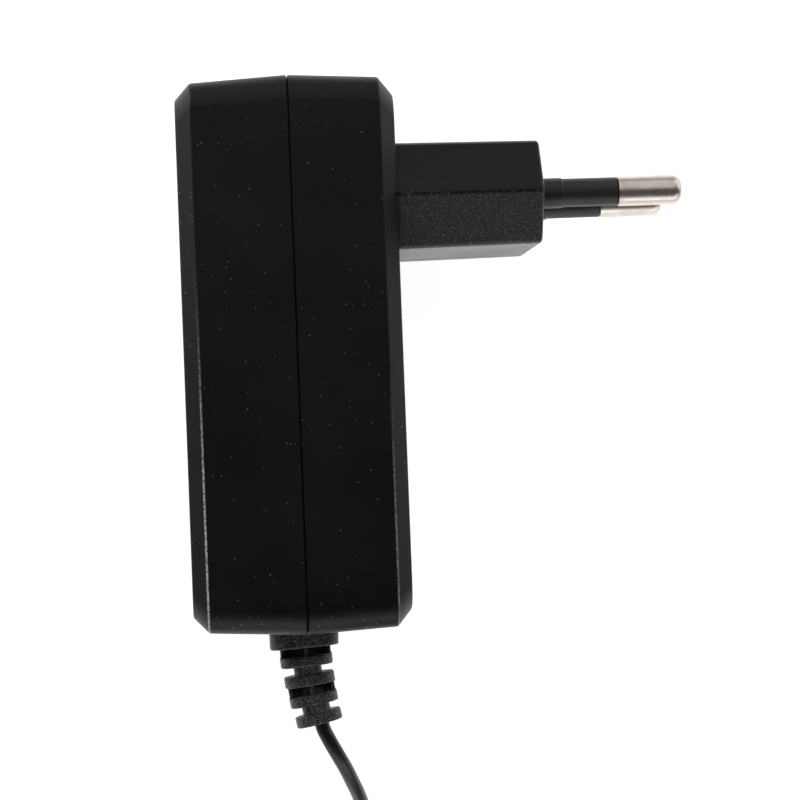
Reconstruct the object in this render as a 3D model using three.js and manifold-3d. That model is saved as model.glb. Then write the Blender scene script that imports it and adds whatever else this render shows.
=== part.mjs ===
// A plug-in USB power supply. A two-half moulded case carries a flat two-pin
// mains plug on its rear half. The circuit board, the transformer and the rest
// of the electronics are inside, and a thin captive lead leaves the lower end
// through a segmented strain relief. The lead is wound into a coil and ends in
// a USB plug.
//
// Units are millimetres. The supply lies on its side, as it does on a table.
// +X is the way the pins point, +Y runs up the long side of the case, away from
// the lead, and +Z is up, across the width of the case. The case is drawn about
// the middle of its seam, and the group at the end sets the part's origin at
// the middle of its underside. The lead's points are in the part's own frame.

import * as THREE from 'three';
import { mergeVertices } from 'three/addons/utils/BufferGeometryUtils.js';
import Module from 'manifold-3d';

const wasm = await Module();
wasm.setup();

// ---------------------------------------------------------------- dimensions

const GAP = 0.3; // between pieces that touch
const CUT_PAST = 1; // how far a cutting solid runs past what it cuts
const degrees = Math.PI / 180;

// Case: two drafted half shells that meet at the seam, at x = 0
const CASE_LONG = 73.2; // along Y, at the seam
const CASE_WIDE = 40; // along Z, at the seam
const FRONT_DEEP = 14.75; // seam to the outer face of the front cover
const REAR_DEEP = 13.9; // seam to the outer face of the rear cover
const WALL = 2;
const FRONT_DRAFT = 2.98 * degrees;
const REAR_DRAFT = 2.67 * degrees;
const FRONT_CHAMFER_DEEP = 2.05;
const FRONT_CHAMFER_IN = 2.07;
const REAR_CHAMFER_DEEP = 2.02;
const REAR_CHAMFER_IN = 2.22;
const CORNER = 3.8; // the four long edges, at the seam
const CORNER_SHRINK = 0.6; // how much of an inset comes off the corner radius
const CORNER_LEAST = 0.4;
const SEAM_BEVEL = 0.25;
const INSIDE_TAPER = 0.5; // extra narrowing of the inside, over a half's depth
const LIP_TALL = 1.8; // tongue of the rear cover, inside the front cover
const LIP_THICK = 0.8;

// Plug: a six-sided housing on the rear cover, nearer the upper end
const PLUG_UP = 20.6; // from the middle of the case to the pins, along Y
const PLUG_LONG = 19.4; // rear face to plug face
const PLUG_WIDE = 35.3; // vertex to vertex, along Z
const PLUG_HIGH = 13.7; // flat to flat, along Y
const PLUG_FLAT = 25.5; // length of each flat, along Z
const PLUG_DRAFT = 0.65 * degrees;
const PLUG_VERTEX = 0.7; // radius of the six long edges
const PLUG_EDGE = 0.5; // rounding around the plug face
const PLUG_WALL = 2.2;
const PLUG_FACE_WALL = 3;

// Pins: two round pins that lean towards each other, half sleeved
const PIN_LONG = 19.4; // plug face to tip
const PIN_RADIUS = 2;
const PIN_SPACING = 18.6; // at the plug face
const PIN_CLOSE_IN = 1.1; // how much nearer to each other the tips are
const PIN_CORE = 1.2; // radius under the sleeve and in the housing
const PIN_TIP_ROUND = 1.3;
const PIN_EDGE = 0.15;
const PIN_COLLAR = 2.2; // radius of the collar that the carrier holds
const PIN_COLLAR_LONG = 3.9;
const SLEEVE_LONG = 10.6; // outside the plug face
const SLEEVE_RADIUS = 1.9;
const SLEEVE_STEP = 0.12; // extra radius of the sleeve's root
const SLEEVE_ROOT = 3.1;
const SLEEVE_EDGE = 0.2;
const CARRIER_DEEP = 8;
const TAIL_BELOW_WALL = 1.5; // how far the pins reach inside the rear wall

// Circuit board, across the case, with its parts on the front side
const BOARD_THICK = 1.6;
const BOARD_MARGIN = 2.4; // to the walls of the case
const BOARD_CORNER = 1.5;
const PART_HEADROOM = 0.85; // tallest part to the front cover
const POST_RADIUS = 2;
const POST_FROM_EDGE = 2.6; // post axis to the board's edges
const POST_NUB = 1.1;
const SPRING_THICK = 0.4;
const SPRING_WIDE = 3;
const SPRING_REACH = 5.5; // from the pins' axes down to its bend
const SPRING_FOOT = 4.5; // along the board
const SPRING_PAST = 1.5; // how far it runs past a pin's axis

// Transformer: two E-shaped ferrite halves around a wound bobbin
const CORE_LONG = 18; // both halves, along Y
const CORE_HIGH = 15.6; // along X
const CORE_THICK = 6; // along Z
const CORE_LEG = 2.3;
const CORE_MIDDLE_LEG = 4.6;
const CORE_BACK = 2.6;
const CORE_UP = 3; // middle of the transformer, along Y
const BOBBIN_WALL = 0.5;
const BOBBIN_FLANGE = 0.8;
const WINDING_BELOW_FLANGE = 0.1;

// Board parts
const INPUT_CAN_RADIUS = 4;
const INPUT_CAN_TALL = 12.4;
const OUTPUT_CAN_RADIUS = 4;
const OUTPUT_CAN_TALL = 11;
const CAN_ROUND = 0.6;
const CHOKE_RADIUS = 3.4;
const CHOKE_TALL = 8;
const FUSE_RADIUS = 1.5;
const FUSE_LONG = 8;
const FUSE_OUT = 5.5; // middle of the case to the middle of the fuse
const DISC_RADIUS = 3.4;
const DISC_THICK = 2.4;
const DISC_OUT = 5.4;
const CHOKE_OUT = 7.5;
const ROW_GAP = 1.1; // between rows of parts along the board
const CAN_GAP = 1.2; // between the two cans of a row

// Moulded packages: size along Y, along Z and off the board, and how far out they are
const RECTIFIER = { long: 3.2, wide: 6.4, tall: 2.6, out: 5.2 };
const OPTOCOUPLER = { long: 3.84, wide: 6, tall: 3.2, out: -4.2 };
const DIODE = { long: 3.6, wide: 5.2, tall: 2.3, out: -7.5 };
const CONTROLLER = { long: 5, wide: 4, tall: 1.6, up: -6 };
const PACKAGE_BEVEL = 0.3;

// The lead's two cores: share of the way from the strain relief's axis to the
// board, distance above the relief's flange, and half the distance between them
const LEAD_CORE_RADIUS = 0.75;
const LEAD_CORE_ROUTE = [
  [1, 5.2, 3],
  [0.71, 4.6, 2.8],
  [0.24, 3, 2],
  [0.1, 1.3, 1.4],
  [0, 0, 1.3],
];

// Strain relief: an inner flange, a neck in the wall, a collar and four rings
const COLLAR_WIDE = 9.3; // along X
const COLLAR_DEEP = 7.6; // along Z
const COLLAR_THICK = 1.9;
const NECK_WIDE = 6.4;
const NECK_DEEP = 5;
const NECK_ROUND = 1.4;
const SECTION_ROUND = 2.2; // corners of the collar, the flange and the rings
const OVERLAP = 0.5; // how far parts of one moulding run into each other
const FLANGE_THICK = 1.6;
const FLANGE_LIP = 1.3; // how far the inner flange stands past the neck
const RING_COUNT = 4;
const RING_THICK = 1.5;
const RING_PITCH = 2.62;
const FIRST_RING = 3.06; // middle of the collar to the middle of the first ring
const RING_WIDE_FIRST = 7.1;
const RING_WIDE_LAST = 6.3;
const RING_DEEP_FIRST = 6.1;
const RING_DEEP_LAST = 5.3;
const RELIEF_TUBE = 1.9; // radius of the tube that the rings are on
const SIDE_WEB = 0.5;
const SIDE_WEB_DEEP = 3.4;
const FACE_RIB = 0.55;
const FACE_WEB = 1.65;
const MIDDLE_WEB = 0.9; // closes the windows of the thin-webbed gaps halfway in
const WEB_IN = 0.15; // how far the webs stay inside the rings
const RELIEF_LEAN = 0.045; // sideways lean of its axis, per mm
const RELIEF_CURVE = 0.0095; // sideways curve of its axis, per mm squared
const RING_FOLLOW = 0.85; // how much of the lean the rings turn with

// Lead, coil and tie
const CORD_RADIUS = 1;
const COIL_X = 6.7;
const COIL_Y = -86;
const COIL_INNER = 7; // inside of the innermost turn
const COIL_OUTER = 17;
const COIL_TALL = 7.7;
const COIL_ROUND = 1.6;
const TIE_WIDE = 3;
const TIE_THICK = 0.7;

// From the strain relief down to the table and along it to the coil
const LEAD_ROUTE = [
  [-17.0, -49.95, 20.0],
  [-16.1, -51.8, 19.9],
  [-15.0, -53.9, 19.2],
  [-13.9, -56.0, 17.7],
  [-12.9, -58.2, 15.4],
  [-12.0, -60.3, 12.5],
  [-11.3, -62.3, 9.3],
  [-10.7, -64.4, 6.2],
  [-10.2, -66.8, 3.6],
  [-9.8, -69.8, 1.8],
  [-9.5, -73.2, 1.05],
  [-9.4, -77.0, 1.0],
];

// From the last turn, on top of the coil, down to the USB plug
const TAIL_ROUTE = [
  [15.8, -102.0, 6.2],
  [18.4, -102.1, 5.2],
  [21.0, -102.3, 4.1],
  [23.6, -102.4, 3.5],
  [26.0, -102.4, 3.4],
];

// USB plug, lying flat on the table and pointing along +X
const USB_X = 26.3; // where its strain relief starts
const USB_Y = -102.4;
const USB_RELIEF_LONG = 6;
const USB_RELIEF_SMALL = 1.5;
const USB_RELIEF_LARGE = 2.4;
const USB_RELIEF_RIBS = 4;
const USB_GROOVE = 0.5;
const USB_GROOVE_DEEP = 0.35;
const USB_GRIP_LONG = 18;
const USB_GRIP_WIDE = 11;
const USB_GRIP_THICK = 6.8;
const USB_GRIP_ROUND = 2.2;
const USB_GRIP_BEVEL = 0.8;
const USB_SHELL_LONG = 6.5;
const USB_SHELL_WIDE = 8.25;
const USB_SHELL_THICK = 2.4;
const USB_SHELL_WALL = 0.28;
const USB_INSERT_WALL = 0.25;
const USB_INSERT_BACK = 0.6; // how far it stays behind the shell's mouth

// ------------------------------------------------------------------- helpers

// A closed three.js geometry as a solid that can be joined and cut
function solidOf(geometry) {
  const bare = geometry.clone();
  bare.deleteAttribute('normal');
  bare.deleteAttribute('uv');
  const merged = mergeVertices(bare, 1e-4);
  const index = merged.index.array;
  const triangles = [];
  for (let i = 0; i < index.length; i += 3) {
    const [a, b, c] = index.slice(i, i + 3);
    if (a !== b && b !== c && c !== a) triangles.push(a, b, c);
  }
  return new wasm.Manifold(new wasm.Mesh({
    numProp: 3,
    vertProperties: new Float32Array(merged.attributes.position.array),
    triVerts: new Uint32Array(triangles),
  }));
}

function geometryOf(solid) {
  const mesh = solid.getMesh();
  const geometry = new THREE.BufferGeometry();
  geometry.setAttribute('position', new THREE.BufferAttribute(mesh.vertProperties, 3));
  geometry.setIndex(new THREE.BufferAttribute(mesh.triVerts, 1));
  geometry.computeVertexNormals();
  return geometry;
}

const join = (solids) => solids.reduce((whole, next) => whole.add(next));

const cut = (solid, cutters) => cutters.reduce((rest, next) => rest.subtract(next), solid);

// A block between two corners
function block(low, high) {
  const size = high.map((value, axis) => value - low[axis]);
  const geometry = new THREE.BoxGeometry(...size);
  geometry.translate(...low.map((value, axis) => value + size[axis] / 2));
  return solidOf(geometry);
}

// A rounded rectangle about the origin, as a list of 2-D points
function roundedOutline(width, height, radius, steps = 5) {
  const round = Math.min(radius, width / 2 - 0.01, height / 2 - 0.01);
  const points = [];
  const corners = [[1, 1], [-1, 1], [-1, -1], [1, -1]];
  corners.forEach(([sideX, sideY], corner) => {
    for (let step = 0; step <= steps; step += 1) {
      const angle = (corner + step / steps) * 90 * degrees;
      points.push(new THREE.Vector2(
        sideX * (width / 2 - round) + round * Math.cos(angle),
        sideY * (height / 2 - round) + round * Math.sin(angle),
      ));
    }
  });
  return points;
}

// An outline pulled up straight along +Z between two heights
function pulled(points, low, high) {
  const geometry = new THREE.ExtrudeGeometry(new THREE.Shape(points), {
    depth: high - low, bevelEnabled: false, curveSegments: 8,
  });
  geometry.translate(0, 0, low);
  return geometry;
}

// The same with the outline's x and y laid along the case's Z and Y, pulled along X
function pulledAlongX(points, low, high) {
  const geometry = pulled(points, low, high);
  geometry.applyMatrix4(new THREE.Matrix4().set(
    0, 0, 1, 0,
    0, 1, 0, 0,
    -1, 0, 0, 0,
    0, 0, 0, 1,
  ));
  return geometry;
}

// The outline's x and y laid along the case's X and Z, pulled along -Y
function pulledAlongY(points, low, high) {
  const geometry = pulled(points, -high, -low);
  geometry.rotateX(90 * degrees);
  return geometry;
}

// A closed skin over convex rings of points, each with the same number of points
function loft(rings) {
  const count = rings[0].length;
  const positions = rings.flat().flatMap((point) => point.toArray());
  const index = [];
  for (let ring = 0; ring + 1 < rings.length; ring += 1) {
    for (let i = 0; i < count; i += 1) {
      const a = ring * count + i;
      const b = ring * count + (i + 1) % count;
      index.push(a, b, b + count, a, b + count, a + count);
    }
  }
  const last = (rings.length - 1) * count;
  for (let i = 1; i + 1 < count; i += 1) {
    index.push(0, i + 1, i, last, last + i, last + i + 1);
  }
  const geometry = new THREE.BufferGeometry();
  geometry.setAttribute('position', new THREE.Float32BufferAttribute(positions, 3));
  geometry.setIndex(index);
  return solidOf(geometry);
}

// A profile of [radius, distance] turned about a line through the origin along X
function turnedAlongX(profile, sides) {
  const points = profile.map(([radius, along]) => new THREE.Vector2(radius, along));
  const geometry = new THREE.LatheGeometry(points, sides);
  geometry.rotateZ(-90 * degrees);
  return solidOf(geometry);
}

const cylinderX = (radius, low, high, y, z, sides = 20) =>
  turnedAlongX([[0, low], [radius, low], [radius, high], [0, high]], sides).translate([0, y, z]);

// A round tube along a smooth curve through the points
function tube(points, radius, steps, sides = 8) {
  const path = new THREE.CatmullRomCurve3(
    points.map((point) => new THREE.Vector3(...point)), false, 'centripetal',
  );
  const outline = [];
  for (let side = 0; side < sides; side += 1) {
    const angle = (side / sides) * 2 * Math.PI;
    outline.push(new THREE.Vector2(radius * Math.cos(angle), radius * Math.sin(angle)));
  }
  const geometry = new THREE.ExtrudeGeometry(new THREE.Shape(outline), {
    steps, bevelEnabled: false, extrudePath: path,
  });
  return solidOf(geometry);
}

// ----------------------------------------------------------------- the pieces

function material(color, roughness, metalness = 0) {
  return new THREE.MeshStandardMaterial({ color, roughness, metalness });
}

function piece(name, solid, finish) {
  const mesh = new THREE.Mesh(geometryOf(solid), finish);
  mesh.name = name;
  return mesh;
}

const CASE_BLACK = 0x171616;
const SLEEVE_BLACK = 0x101010;
const PIN_NICKEL = 0xc6bfb4;
const BRASS = 0xb08d4a;
const FERRITE = 0x2c2b2d;
const BOARD_GREEN = 0x2c5a34;
const TAPE_YELLOW = 0xd8b23c;
const INSULATOR_CREAM = 0xd9d4c4;
const PACKAGE_BLACK = 0x1b1b1d;
const INPUT_CAN_BLUE = 0x22252b;
const OUTPUT_CAN_GREEN = 0x1f3c2c;
const FUSE_GREEN = 0x6f8f74;
const DISC_BLUE = 0x2f6fb0;
const CHOKE_COPPER = 0x7a3d22;
const CORE_RED = 0xb02a20;
const RELIEF_BLACK = 0x1b1a1b;
const CORD_BLACK = 0x161616;
const USB_STEEL = 0xb9bcc0;

// ---- case

// One ring of the case: a rounded rectangle, drawn in by inset on all sides
function caseRing(x, inset) {
  const radius = Math.max(CORNER - inset * CORNER_SHRINK, CORNER_LEAST);
  return roundedOutline(CASE_LONG - 2 * inset, CASE_WIDE - 2 * inset, radius, 6)
    .map((point) => new THREE.Vector3(x, point.x, point.y));
}

// Half a case as a solid: bevelled at the seam, drafted, chamfered at its outer face
function halfOutside(side, deep, draft, chamferDeep, chamferIn) {
  const straight = deep - chamferDeep;
  const drawnIn = straight * Math.tan(draft);
  const rings = [
    caseRing(side * GAP / 2, SEAM_BEVEL),
    caseRing(side * (GAP / 2 + SEAM_BEVEL), 0),
    caseRing(side * straight, drawnIn),
    caseRing(side * deep, drawnIn + chamferIn),
  ];
  return loft(side > 0 ? rings : rings.reverse());
}

// How far the inside of a half is drawn in at a distance from the seam
function insideInset(distance, deep, draft) {
  return WALL + distance * (Math.tan(draft) + INSIDE_TAPER / deep);
}

// The room inside a half, run past the seam so that it cuts clean through
function halfInside(side, deep, draft) {
  const floor = deep - WALL;
  const rings = [
    caseRing(-side * CUT_PAST, WALL),
    caseRing(0, WALL),
    caseRing(side * floor, insideInset(floor, deep, draft)),
  ];
  return loft(side > 0 ? rings : rings.reverse());
}

const frontOuter = halfOutside(
  -1, FRONT_DEEP, FRONT_DRAFT, FRONT_CHAMFER_DEEP, FRONT_CHAMFER_IN,
);
const frontInner = halfInside(-1, FRONT_DEEP, FRONT_DRAFT);
const rearOuter = halfOutside(
  1, REAR_DEEP, REAR_DRAFT, REAR_CHAMFER_DEEP, REAR_CHAMFER_IN,
);
const rearInner = halfInside(1, REAR_DEEP, REAR_DRAFT);

// The tongue on the rear cover's inner edge and the step that it drops into
const lipOuter = WALL - LIP_THICK;
const caseBar = (low, high, inset) => loft([caseRing(low, inset), caseRing(high, inset)]);
const tongue = cut(
  caseBar(-LIP_TALL, GAP + SEAM_BEVEL, lipOuter),
  [caseBar(-LIP_TALL - CUT_PAST, GAP + SEAM_BEVEL + CUT_PAST, WALL)],
);
const tongueStep = caseBar(-LIP_TALL - GAP, CUT_PAST, lipOuter - GAP);

const caseEnd = -CASE_LONG / 2; // the end that the lead leaves

// The strain relief's flange bears on the inside of the end wall, which slopes
const flangeLow = caseEnd + GAP
  + insideInset(NECK_WIDE / 2 + FLANGE_LIP, FRONT_DEEP, FRONT_DRAFT);
const flangeHigh = flangeLow + FLANGE_THICK;

// Where the board and the posts that hold it are; the tallest part on the
// board sets its distance from the front cover
const tallest = Math.max(
  CORE_HIGH, INPUT_CAN_TALL, OUTPUT_CAN_TALL, CHOKE_TALL, 2 * DISC_RADIUS,
);
const boardFront = WALL - FRONT_DEEP + PART_HEADROOM + tallest + GAP;
const boardBack = boardFront + BOARD_THICK;
const boardInset = Math.max(WALL + BOARD_MARGIN, flangeHigh - caseEnd + GAP);
const boardLong = CASE_LONG - 2 * boardInset;
const boardWide = CASE_WIDE - 2 * (WALL + BOARD_MARGIN);
const postY = boardLong / 2 - POST_FROM_EDGE;
const postZ = boardWide / 2 - POST_FROM_EDGE;
const postPlaces = [[1, 1], [1, -1], [-1, 1], [-1, -1]]
  .map(([up, out]) => [up * postY, out * postZ]);

// The neck of the strain relief passes between the covers
const neckHole = () => solidOf(pulledAlongY(
  roundedOutline(NECK_WIDE + 2 * GAP, NECK_DEEP + 2 * GAP, NECK_ROUND + GAP, 3),
  caseEnd - CUT_PAST, flangeLow + CUT_PAST,
));

function frontCover() {
  const posts = postPlaces.map(([y, z]) =>
    cylinderX(POST_RADIUS, -FRONT_DEEP + WALL / 2, boardFront - GAP, y, z, 14));
  const shell = cut(frontOuter, [frontInner, tongueStep.intersect(frontOuter)]);
  return cut(join([shell, ...posts]), [neckHole()]);
}

// ---- plug housing

const plugFace = REAR_DEEP + PLUG_LONG;
const vertexAngle = Math.atan2(PLUG_HIGH / 2, (PLUG_WIDE - PLUG_FLAT) / 2);

// The six-sided outline, drawn in by inset square to every side, with round
// edges; x runs along the case's -Z and y along its Y
function plugOutline(inset) {
  const high = PLUG_HIGH / 2 - inset;
  const wide = PLUG_WIDE / 2 - inset / Math.sin(vertexAngle);
  const flat = wide - high / Math.tan(vertexAngle);
  const corners = [
    [wide, 0], [flat, high], [-flat, high], [-wide, 0], [-flat, -high], [flat, -high],
  ];
  return corners.flatMap(([x, y], i) => {
    const here = new THREE.Vector2(x, y);
    const before = new THREE.Vector2(...corners[(i + 5) % 6]).sub(here).setLength(PLUG_VERTEX);
    const after = new THREE.Vector2(...corners[(i + 1) % 6]).sub(here).setLength(PLUG_VERTEX);
    return [0, 0.5, 1].map((t) => here.clone()
      .addScaledVector(before, (1 - t) ** 2)
      .addScaledVector(after, t ** 2));
  });
}

const plugRing = (x, inset) => plugOutline(inset)
  .map((point) => new THREE.Vector3(x, PLUG_UP + point.y, point.x));

// The outline grows from the plug face back to the case
const plugInset = (x) => -(plugFace - x) * Math.tan(PLUG_DRAFT);

function plugSolid(low, high, wall, edge) {
  const rings = [plugRing(low, plugInset(low) + wall)];
  if (edge) {
    for (const angle of [0, 30, 60, 90]) {
      rings.push(plugRing(
        high - edge + edge * Math.sin(angle * degrees),
        wall + edge * (1 - Math.cos(angle * degrees)),
      ));
    }
  } else {
    rings.push(plugRing(high, plugInset(high) + wall));
  }
  return loft(rings.map((ring) => ring.reverse()));
}

// ---- pins, drawn along X with 0 at the plug face, then leaned into place

const pinLean = Math.atan(PIN_CLOSE_IN / 2 / PIN_LONG);

function pinPlace(side) {
  const place = new THREE.Matrix4().makeRotationY(side * pinLean);
  return place.setPosition(plugFace, PLUG_UP, side * PIN_SPACING / 2);
}

const placed = (solid, matrix) => solid.transform(matrix.toArray());

const pinSides = { upper: 1, lower: -1 };
const carrierFront = plugFace - PLUG_FACE_WALL - GAP;
const carrierBack = carrierFront - CARRIER_DEEP;
const pinTail = REAR_DEEP - WALL - TAIL_BELOW_WALL - plugFace;
const collarFront = -PLUG_FACE_WALL - 2 * GAP;

function pinSolid() {
  const round = PIN_TIP_ROUND;
  const tip = [0, 22.5, 45, 67.5, 90].map((angle) => [
    PIN_RADIUS - round + round * Math.cos(angle * degrees),
    PIN_LONG - round + round * Math.sin(angle * degrees),
  ]);
  return turnedAlongX([
    [0, pinTail],
    [PIN_CORE, pinTail],
    [PIN_CORE, collarFront - PIN_COLLAR_LONG],
    [PIN_COLLAR, collarFront - PIN_COLLAR_LONG],
    [PIN_COLLAR, collarFront],
    [PIN_CORE, collarFront],
    [PIN_CORE, SLEEVE_LONG + GAP],
    [PIN_RADIUS - PIN_EDGE, SLEEVE_LONG + GAP],
    [PIN_RADIUS, SLEEVE_LONG + GAP + PIN_EDGE],
    ...tip,
    [0, PIN_LONG],
  ], 28);
}

function sleeveSolid() {
  const inside = PIN_CORE + GAP;
  const root = SLEEVE_RADIUS + SLEEVE_STEP;
  return turnedAlongX([
    [inside, -PLUG_FACE_WALL],
    [root, -PLUG_FACE_WALL],
    [root, SLEEVE_ROOT],
    [SLEEVE_RADIUS, SLEEVE_ROOT + SLEEVE_STEP],
    [SLEEVE_RADIUS, SLEEVE_LONG - SLEEVE_EDGE],
    [SLEEVE_RADIUS - SLEEVE_EDGE, SLEEVE_LONG],
    [inside, SLEEVE_LONG],
    [inside, -PLUG_FACE_WALL],
  ], 28);
}

const pinBore = (radius, low, high) =>
  turnedAlongX([[0, low], [radius, low], [radius, high], [0, high]], 28);

function rearCover() {
  const shell = cut(rearOuter, [rearInner]);
  const start = REAR_DEEP - WALL - CUT_PAST;
  const plugRoom = plugSolid(start, plugFace - PLUG_FACE_WALL, PLUG_WALL, 0);
  const housing = plugSolid(start, plugFace, 0, PLUG_EDGE).intersect(beyondWall());
  const bores = Object.values(pinSides).map((side) => placed(
    pinBore(SLEEVE_RADIUS + SLEEVE_STEP + GAP, -PLUG_FACE_WALL - CUT_PAST, CUT_PAST),
    pinPlace(side),
  ));
  const posts = postPlaces.flatMap(([y, z]) => [
    cylinderX(POST_RADIUS, boardBack + GAP, REAR_DEEP - WALL / 2, y, z, 14),
    cylinderX(POST_NUB, boardFront + GAP, boardBack + OVERLAP, y, z, 12),
  ]);
  return cut(join([shell, housing, tongue, ...posts]), [...bores, plugRoom, neckHole()]);
}

// Everything past the inner face of the rear wall
const beyondWall = () => block(
  [REAR_DEEP - WALL, -CASE_LONG, -CASE_WIDE], [plugFace + CUT_PAST, CASE_LONG, CASE_WIDE],
);

// The insulating block behind the plug face that grips the pins' collars
function pinCarrier() {
  const body = plugSolid(carrierBack, carrierFront, PLUG_WALL + GAP, 0);
  const bores = Object.values(pinSides).flatMap((side) => [
    placed(pinBore(PIN_CORE + GAP, -PLUG_LONG - CUT_PAST, CUT_PAST), pinPlace(side)),
    placed(
      pinBore(PIN_COLLAR + GAP, collarFront - PIN_COLLAR_LONG - GAP, CUT_PAST),
      pinPlace(side),
    ),
  ]);
  return cut(body, bores);
}

// A strip that rises from the board and bears on the tail of a pin
function contactSpring(side) {
  const tailX = plugFace + pinTail * Math.cos(pinLean);
  const low = boardBack + GAP;
  const high = tailX - GAP;
  const t = SPRING_THICK;
  const z = side * (PIN_SPACING / 2 - pinTail * Math.sin(pinLean));
  const bend = PLUG_UP - SPRING_REACH;
  const foot = bend + SPRING_FOOT;
  const end = PLUG_UP + SPRING_PAST;
  const strip = new THREE.Shape([
    [low, foot], [low, bend], [high, bend], [high, end], [high - t, end],
    [high - t, bend + t], [low + t, bend + t], [low + t, foot],
  ].map(([x, y]) => new THREE.Vector2(x, y)));
  const geometry = new THREE.ExtrudeGeometry(strip, { depth: SPRING_WIDE, bevelEnabled: false });
  geometry.translate(0, 0, z - SPRING_WIDE / 2);
  return solidOf(geometry);
}

// ---- board and its parts; each stands on the board's front face

function circuitBoard() {
  const outline = roundedOutline(boardWide, boardLong, BOARD_CORNER, 3);
  const holes = postPlaces.map(([y, z]) =>
    cylinderX(POST_NUB + GAP, boardFront - CUT_PAST, boardBack + CUT_PAST, y, z, 12));
  return cut(solidOf(pulledAlongX(outline, boardFront, boardBack)), holes);
}

const seat = boardFront - GAP; // the highest x that a part on the board reaches

// A can with a rounded top edge, standing on the board
function can(radius, tall, y, z) {
  const top = seat - tall;
  return turnedAlongX([
    [0, top], [radius - CAN_ROUND, top], [radius, top + CAN_ROUND],
    [radius, seat], [0, seat],
  ], 20).translate([0, y, z]);
}

// A flat-sided moulded package with drawn-in top edges
function chip({ long, wide, tall }, y, z) {
  const bevel = PACKAGE_BEVEL;
  const ring = (x, inset) => roundedOutline(long - 2 * inset, wide - 2 * inset, bevel, 2)
    .map((point) => new THREE.Vector3(x, y + point.x, z + point.y));
  return loft([ring(seat - tall, bevel), ring(seat - tall + bevel, 0), ring(seat, 0)]);
}

const coreMiddle = seat - CORE_HIGH / 2;

// One E-shaped half: a back with three legs that point towards the other half
function coreHalf(side) {
  const back = side * CORE_LONG / 2;
  const inner = back - side * CORE_BACK;
  const meet = side * GAP / 2;
  const leg = (low, high) => block(
    [coreMiddle + low, CORE_UP + Math.min(meet, inner + side * 0.1), -CORE_THICK / 2],
    [coreMiddle + high, CORE_UP + Math.max(meet, inner + side * 0.1), CORE_THICK / 2],
  );
  const high = CORE_HIGH / 2;
  return join([
    block(
      [coreMiddle - high, CORE_UP + Math.min(inner, back), -CORE_THICK / 2],
      [coreMiddle + high, CORE_UP + Math.max(inner, back), CORE_THICK / 2],
    ),
    leg(-high, -high + CORE_LEG),
    leg(-CORE_MIDDLE_LEG / 2, CORE_MIDDLE_LEG / 2),
    leg(high - CORE_LEG, high),
  ]);
}

const spoolLong = CORE_LONG - 2 * CORE_BACK - 2 * GAP;
const spoolInnerX = CORE_MIDDLE_LEG / 2 + GAP;
const spoolInnerZ = CORE_THICK / 2 + GAP;

// The bobbin and its winding fill the window between the legs
const coreWindow = CORE_HIGH / 2 - CORE_LEG - CORE_MIDDLE_LEG / 2;
const flangeWall = coreWindow - 2 * GAP;
const windingWall = flangeWall - WINDING_BELOW_FLANGE;

// A rounded rectangle around the middle leg, pulled along Y
function sleeveAroundLeg(wall, low, high) {
  return solidOf(pulledAlongY(
    roundedOutline(2 * (spoolInnerX + wall), 2 * (spoolInnerZ + wall), 0.2 + wall, 3),
    low, high,
  )).translate([coreMiddle, CORE_UP, 0]);
}

function bobbin() {
  const end = spoolLong / 2;
  const foot = spoolInnerZ + flangeWall;
  const flange = (side) => {
    const near = side * end;
    const far = side * (end - BOBBIN_FLANGE);
    return [
      sleeveAroundLeg(flangeWall, Math.min(near, far), Math.max(near, far)),
      ...[1, -1].map((up) => block(
        [coreMiddle, CORE_UP + Math.min(near, far), Math.min(up * foot, up * spoolInnerZ)],
        [seat, CORE_UP + Math.max(near, far), Math.max(up * foot, up * spoolInnerZ)],
      )),
    ];
  };
  const tubeWall = sleeveAroundLeg(BOBBIN_WALL, -end, end);
  return cut(join([tubeWall, ...flange(1), ...flange(-1)]), [sleeveAroundLeg(0, -end - 1, end + 1)]);
}

function winding() {
  const end = spoolLong / 2 - BOBBIN_FLANGE - GAP;
  return cut(
    sleeveAroundLeg(windingWall, -end, end),
    [sleeveAroundLeg(BOBBIN_WALL + GAP, -end - 1, end + 1)],
  );
}

// Rows of parts above and below the transformer, along Y
const rowAbove = CORE_UP + CORE_LONG / 2 + ROW_GAP;
const inputRow = rowAbove + Math.max(2 * FUSE_RADIUS, RECTIFIER.long) + ROW_GAP
  + INPUT_CAN_RADIUS;
const inputOut = INPUT_CAN_RADIUS + CAN_GAP / 2;
const outputOut = OUTPUT_CAN_RADIUS + CAN_GAP / 2;
const rowBelow = CORE_UP - CORE_LONG / 2 - ROW_GAP;
const outputRow = rowBelow - Math.max(DISC_THICK, OPTOCOUPLER.long) - ROW_GAP
  - OUTPUT_CAN_RADIUS;
const lastRow = outputRow - OUTPUT_CAN_RADIUS - ROW_GAP;

// A resistor-shaped fuse lying across the board
function fuse() {
  const geometry = new THREE.LatheGeometry([
    [0, -FUSE_LONG / 2], [FUSE_RADIUS * 0.75, -FUSE_LONG / 2], [FUSE_RADIUS, -FUSE_LONG / 2 + 0.6],
    [FUSE_RADIUS, FUSE_LONG / 2 - 0.6], [FUSE_RADIUS * 0.75, FUSE_LONG / 2], [0, FUSE_LONG / 2],
  ].map(([radius, along]) => new THREE.Vector2(radius, along)), 16);
  geometry.rotateX(90 * degrees);
  geometry.translate(seat - FUSE_RADIUS, rowAbove + FUSE_RADIUS, -FUSE_OUT);
  return solidOf(geometry);
}

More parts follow.
